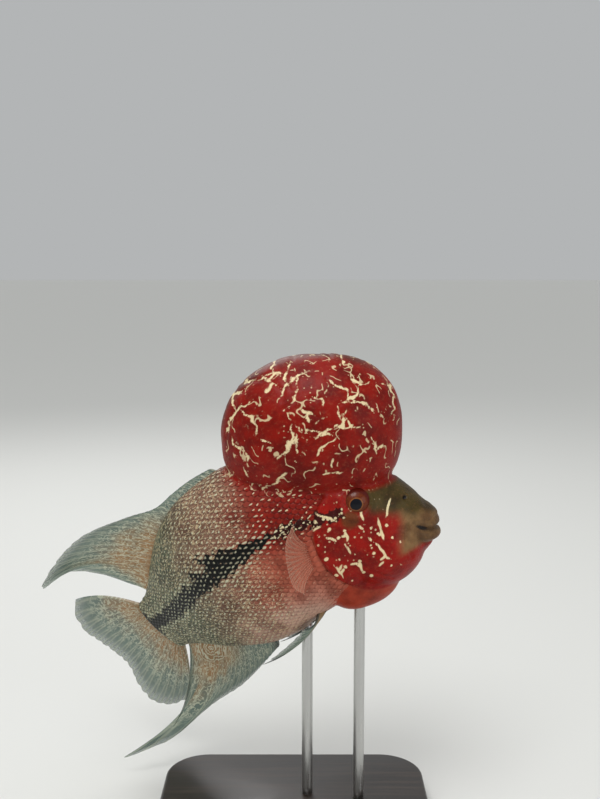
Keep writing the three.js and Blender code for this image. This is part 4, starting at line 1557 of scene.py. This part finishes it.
class FLOWERHORN_OT_fins(bpy.types.Operator):
    """Builds the seven fins with their rays"""

    bl_idname = "flowerhorn.fins"
    bl_label = "Fins"

    def execute(self, context):
        settings = context.scene.flowerhorn.fins
        looks = {}
        for name, plan in fin_plans().items():
            steps = 60
            mesh = fin_mesh(name, plan, 10, steps)
            look = plan["look"]
            if look not in looks:
                looks[look] = self.fin_material(look, settings)
            mesh.materials.append(looks[look])
            fin = piece(f"{name}_web", mesh)
            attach(fin, "root")
            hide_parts(name)
        return {"FINISHED"}

    def fin_material(self, look, settings):
        """A thin wet fin with pale rays, wavy marks and a see-through edge."""
        made, kit, shader = material(f"{look}_fin", {"Coat Weight": 0.15, "Coat Roughness": 0.2})
        made.surface_render_method = "DITHERED"
        spot = kit.vector("fin_place")
        across, along, _ = kit.parts(spot)
        share_t, share_q, _ = kit.parts(kit.vector("fin_share"))
        ray = kit.number("ray")
        web = colour4(settings.pectoral if look == "pectoral" else settings.web)
        root = colour4(settings.pectoral if look == "pectoral" else settings.root)
        mottle = kit.noise(spot, 0.1, 3.0)
        near_root = kit.band(share_q + (mottle - 0.5) * 0.5, 0.66, 0.14)
        if look in ("dorsal", "anal"):
            near_root = near_root * kit.band(share_t, 0.3, 0.65)
        tone = kit.mix(near_root * 0.85, web, root)
        tone = kit.mix(kit.band(mottle, 0.42, 0.75) * 0.4, tone, (0.5, 0.56, 0.56, 1), "MULTIPLY")
        tone = kit.mix(ray * (share_q * 0.35 + 0.25), tone, colour4(settings.ray))
        if look in ("dorsal", "anal", "caudal"):
            worm = kit.noise(kit.joined(across * 0.5, along * 0.24, 3.0), 1.0, 1.0, 0.5, 0.6)
            line = kit.band(abs(worm - 0.5), 0.055, 0.025)
            dots = kit.cells(kit.joined(across * 0.5, along * 0.34, 0.0), 1.0, spread=0.8)
            dots = kit.band(dots, 0.36, 0.22)
            marked = kit.band(share_q, 0.86, 0.55) * kit.band(share_q, 0.03, 0.1)
            if look == "anal":
                from_swirl = kit.length(
                    kit.joined((across - SWIRL["across"]) * 0.55, along - SWIRL["along"], 0.0)
                )
                bent = from_swirl + (kit.noise(spot, 0.16) - 0.5) * 9
                rings = kit.make("ShaderNodeMath", {"operation": "SINE"}, {0: bent * 2.6})
                whirl = kit.band(from_swirl, SWIRL["radius"], SWIRL["radius"] * 0.7)
                marked = marked * (1 - whirl)
                tone = kit.mix(whirl * kit.band(rings, 0.0, 0.6) * 0.7, tone, colour4(settings.dash))
            tone = kit.mix(line.most(dots) * marked * 0.6, tone, colour4(settings.dash))
        if look == "anal":
            front = kit.band(share_t, 0.1, 0.02)
            tone = kit.mix(front * 0.7, tone, FIN_DARK)
        if look == "pelvic":
            sides = kit.band(abs(share_t - 0.5), 0.36, 0.48)
            tone = kit.mix(sides * 0.8, tone, FIN_DARK)
        kit.feed(shader.inputs["Base Color"], tone)
        kit.feed(shader.inputs["Roughness"], mottle * 0.2 + 0.35)
        edge = kit.band(share_q, 0.72, 1.0)
        clear = {"pectoral": 0.6, "pelvic": 0.1, "caudal": 0.12, "dorsal": 0.08, "anal": 0.08}[look]
        thin = clear + edge * (0.52 - clear)
        kit.feed(shader.inputs["Alpha"], 1 - thin * (1 - ray * 0.25))
        joints = kit.noise(kit.joined(across * 1.2, along * 2.4, 0.0), 1.0, 2.0)
        kit.feed(shader.inputs["Normal"], kit.bump(joints, 0.2, 0.0004))
        return made


class FLOWERHORN_OT_eyes(bpy.types.Operator):
    """Builds the two eyes"""

    bl_idname = "flowerhorn.eyes"
    bl_label = "Eyes"

    def execute(self, context):
        look = self.eye_material(context.scene.flowerhorn.eyes)
        for name, side in SIDES.items():
            mesh = self.eye_mesh(side)
            mesh.materials.append(look)
            eye = piece(f"eyeball_{name}", mesh)
            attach(eye, "root")
            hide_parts(f"eye_{name}")
        return {"FINISHED"}

    def eye_mesh(self, side):
        """An eyeball whose rings run round the line of sight."""
        rings, turns = 40, 64
        lift = np.pi * (np.arange(1, rings) / rings - 0.5)[:, None]
        angle = (2 * np.pi * np.arange(turns) / turns)[None, :]
        radius = EYE["radius"]
        out = eye_out(side)
        flat = radius * np.cos(lift) * np.ones_like(angle)
        s = EYE["s"] + flat * np.cos(angle)
        v = EYE["v"] + flat * np.sin(angle)
        u = out + radius * np.sin(lift) * np.ones_like(angle)
        ends = [[EYE["s"], out - radius, EYE["v"]], [EYE["s"], out + radius, EYE["v"]]]
        points, faces = capped_rings(np.stack([s, u, v], -1), *ends)
        mesh = mesh_of("eyeball", place(points), faces)
        fix_normals(mesh)
        from_axis = points - [EYE["s"], 0, EYE["v"]]
        front = np.where((points[:, 1] - out) * side > 0, 0, 20)
        store(mesh, "from_pupil", np.hypot(from_axis[:, 0], from_axis[:, 2]) + front)
        store(mesh, "eye_place", from_axis)
        smooth_shade(mesh)
        return mesh

    def eye_material(self, colours):
        """A dark pupil in a ringed iris, under a clear wet coat."""
        made, kit, shader = material(
            "eye", {"Roughness": 0.4, "Specular IOR Level": 0.1, "Coat Weight": 0.3, "Coat Roughness": 0.03}
        )
        spot = kit.vector("eye_place")
        reach = kit.number("from_pupil") + (kit.noise(spot, 0.5, 2.0) - 0.5) * 0.5
        streaks = kit.noise(spot, 1.4, 4.0, 0.7)
        tone = kit.mix(kit.band(streaks, 0.35, 0.7) * 0.6, colour4(colours.iris), colour4(colours.rim))
        ring = kit.band(abs(reach - PUPIL_RADIUS - 0.35), 0.35, 0.1)
        tone = kit.mix(ring * 0.5, tone, (0.3, 0.13, 0.03, 1))
        tone = kit.mix(kit.band(reach, IRIS_RADIUS - 1.4, IRIS_RADIUS), tone, colour4(colours.rim))
        pupil = kit.band(reach, PUPIL_RADIUS + 0.1, PUPIL_RADIUS - 0.1)
        tone = kit.mix(pupil, tone, colour4(colours.pupil))
        kit.feed(shader.inputs["Base Color"], tone)
        return made


class FLOWERHORN_OT_stand(bpy.types.Operator):
    """Builds the base and the two rods"""

    bl_idname = "flowerhorn.stand"
    bl_label = "Stand"

    def execute(self, context):
        colours = context.scene.flowerhorn.stand
        base = piece("base", self.base_mesh())
        base.data.materials.append(self.wood_material(colours))
        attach(base, "root")
        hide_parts("stand_base")
        steel = self.steel_material(colours)
        for i, s in enumerate(ROD_STATIONS):
            rod = piece(f"rod_{i + 1}", self.rod_mesh(s))
            rod.data.materials.append(steel)
            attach(rod, "root")
            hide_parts(f"stand_rod_{i + 1}")
        return {"FINISHED"}

    def base_mesh(self):
        """A flat board with round corners and softened edges."""
        turn = np.linspace(0, math.pi / 2, 13)
        steps = np.linspace(0, math.pi / 2, 5)
        bevel = BASE["bevel"]
        levels = [(bevel * (1 - math.sin(a)), bevel * (1 - math.cos(a))) for a in steps]
        levels += [(inset, BASE["thickness"] - z) for inset, z in reversed(levels)]
        rings = []
        for inset, z in levels:
            corner = BASE["corner"] - inset
            ring = []
            for quarter in range(4):
                sx = 1 if quarter in (0, 3) else -1
                sy = 1 if quarter in (0, 1) else -1
                cx = sx * (BASE["length"] / 2 - BASE["corner"])
                cy = sy * (BASE["width"] / 2 - BASE["corner"])
                for a in turn + quarter * math.pi / 2:
                    ring.append([cx + corner * math.cos(a), cy + corner * math.sin(a), z])
            rings.append(ring)
        points, faces = capped_rings(np.array(rings), [0, 0, 0], [0, 0, BASE["thickness"]])
        mesh = mesh_of("base", points * MM, faces)
        fix_normals(mesh)
        smooth_shade(mesh)
        return mesh

    def rod_mesh(self, s):
        """An upright rod from the base into the belly."""
        foot = place([s, 0, float(body_at(s)[1])])
        angle = 2 * np.pi * np.arange(40) / 40
        bottom = BASE["thickness"] * MM
        top = foot[2] + 1.5 * MM
        radius = ROD_RADIUS * MM
        ring = np.stack([foot[0] + radius * np.cos(angle), foot[1] + radius * np.sin(angle), 0 * angle], -1)
        heights = np.linspace(bottom, top, 24)
        rings = np.array([ring + [0, 0, z] for z in heights])
        points, faces = capped_rings(rings, [foot[0], foot[1], bottom], [foot[0], foot[1], top])
        mesh = mesh_of("rod", points, faces)
        fix_normals(mesh)
        smooth_shade(mesh)
        return mesh

    def wood_material(self, colours):
        """Dark stained wood with a fine grain."""
        made, kit, shader = material("stained_wood", {"Coat Weight": 0.25, "Coat Roughness": 0.15})
        spot = kit.make("ShaderNodeTexCoord", output="Object")
        grain = kit.noise(kit.stretched(spot, (14.0, 260.0, 260.0)), 1.0, 5.0, 0.6, 0.4)
        wood = colour4(colours.wood)
        pale = tuple(min(1.0, c * 2.4) for c in wood[:3]) + (1.0,)
        kit.feed(shader.inputs["Base Color"], kit.mix(kit.band(grain, 0.42, 0.66), wood, pale))
        kit.feed(shader.inputs["Roughness"], grain * 0.3 + 0.25)
        kit.feed(shader.inputs["Normal"], kit.bump(grain, 0.25, 0.0003))
        return made

    def steel_material(self, colours):
        """Brushed steel."""
        made, kit, shader = material("brushed_steel", {"Metallic": 1.0})
        shader.inputs["Base Color"].default_value = colour4(colours.steel)
        spot = kit.make("ShaderNodeTexCoord", output="Object")
        brushed = kit.noise(kit.stretched(spot, (900.0, 900.0, 40.0)), 1.0, 3.0)
        kit.feed(shader.inputs["Roughness"], brushed * 0.25 + 0.18)
        return made


class FLOWERHORN_OT_stage(bpy.types.Operator):
    """Sets the floor, the lights and the camera"""

    bl_idname = "flowerhorn.stage"
    bl_label = "Stage"

    def execute(self, context):
        colours = context.scene.flowerhorn.stand
        turns = ((-1, -1), (1, -1), (1, 1), (-1, 1))
        corners = [[x * FLOOR_HALF, y * FLOOR_HALF, 0] for x, y in turns]
        floor = piece("floor", mesh_of("floor", corners, [[0, 1, 2, 3]]))
        look, _, shader = material("floor", {"Roughness": 0.7})
        shader.inputs["Base Color"].default_value = colour4(colours.floor)
        floor.data.materials.append(look)
        for light in LIGHTS:
            self.light(*light)
        sun = bpy.data.lights.new("sky", "SUN")
        sun.angle = math.radians(60)
        sun.energy = 0.65
        above = bpy.data.objects.new("sky", sun)
        context.scene.collection.objects.link(above)
        above.rotation_euler = (math.radians(20), math.radians(-12), 0)
        world = bpy.data.worlds.new("studio")
        world.use_nodes = True
        world.node_tree.nodes["Background"].inputs["Color"].default_value = (0.82, 0.84, 0.85, 1)
        world.node_tree.nodes["Background"].inputs["Strength"].default_value = 0.55
        context.scene.world = world
        context.scene.view_settings.view_transform = "Standard"
        camera = bpy.data.objects.new("camera", bpy.data.cameras.new("camera"))
        context.scene.collection.objects.link(camera)
        camera.location = CAMERA_PLACE
        camera.rotation_euler = (math.radians(90 - CAMERA_PITCH), 0, 0)
        camera.data.sensor_width = 36
        camera.data.lens = CAMERA_LENS
        camera.data.clip_start = 0.01
        context.scene.camera = camera
        return {"FINISHED"}

    def light(self, name, spot, size, power):
        """A soft square light that looks at the fish."""
        lamp = bpy.data.lights.new(name, "AREA")
        lamp.size = size
        lamp.energy = power
        made = bpy.data.objects.new(name, lamp)
        bpy.context.scene.collection.objects.link(made)
        made.location = spot
        aim = Vector(LIGHT_AIM) - Vector(spot)
        made.rotation_euler = aim.to_track_quat("-Z", "Y").to_euler()


class FLOWERHORN_PT_panel(bpy.types.Panel):
    """Lists the pieces of the model"""

    bl_idname = "FLOWERHORN_PT_panel"
    bl_label = "Flowerhorn"
    bl_space_type = "VIEW_3D"
    bl_region_type = "UI"
    bl_category = "Flowerhorn"

    def draw(self, context):
        settings = context.scene.flowerhorn
        for group in ("skin", "scales", "fins", "eyes", "stand"):
            box = self.layout.box()
            box.label(text=group.capitalize())
            values = getattr(settings, group)
            for name in values.__annotations__:
                box.prop(values, name)
            box.operator(f"flowerhorn.{group}")
        self.layout.operator("flowerhorn.stage")


SETTINGS = (SkinSettings, ScaleSettings, FinSettings, EyeSettings, StandSettings, FlowerhornSettings)
OPERATORS = (
    FLOWERHORN_OT_skin,
    FLOWERHORN_OT_scales,
    FLOWERHORN_OT_fins,
    FLOWERHORN_OT_eyes,
    FLOWERHORN_OT_stand,
    FLOWERHORN_OT_stage,
)
CLASSES = SETTINGS + OPERATORS + (FLOWERHORN_PT_panel,)


def register():
    """Adds the classes and the scene's settings."""
    for cls in CLASSES:
        bpy.utils.register_class(cls)
    bpy.types.Scene.flowerhorn = PointerProperty(type=FlowerhornSettings)


def unregister():
    """Removes the classes and the scene's settings."""
    del bpy.types.Scene.flowerhorn
    for cls in reversed(CLASSES):
        bpy.utils.unregister_class(cls)


def main():
    """Builds the whole model."""
    register()
    bpy.ops.flowerhorn.skin()
    bpy.ops.flowerhorn.scales()
    bpy.ops.flowerhorn.fins()
    bpy.ops.flowerhorn.eyes()
    bpy.ops.flowerhorn.stand()
    bpy.ops.flowerhorn.stage()


if __name__ == "__main__":
    main()
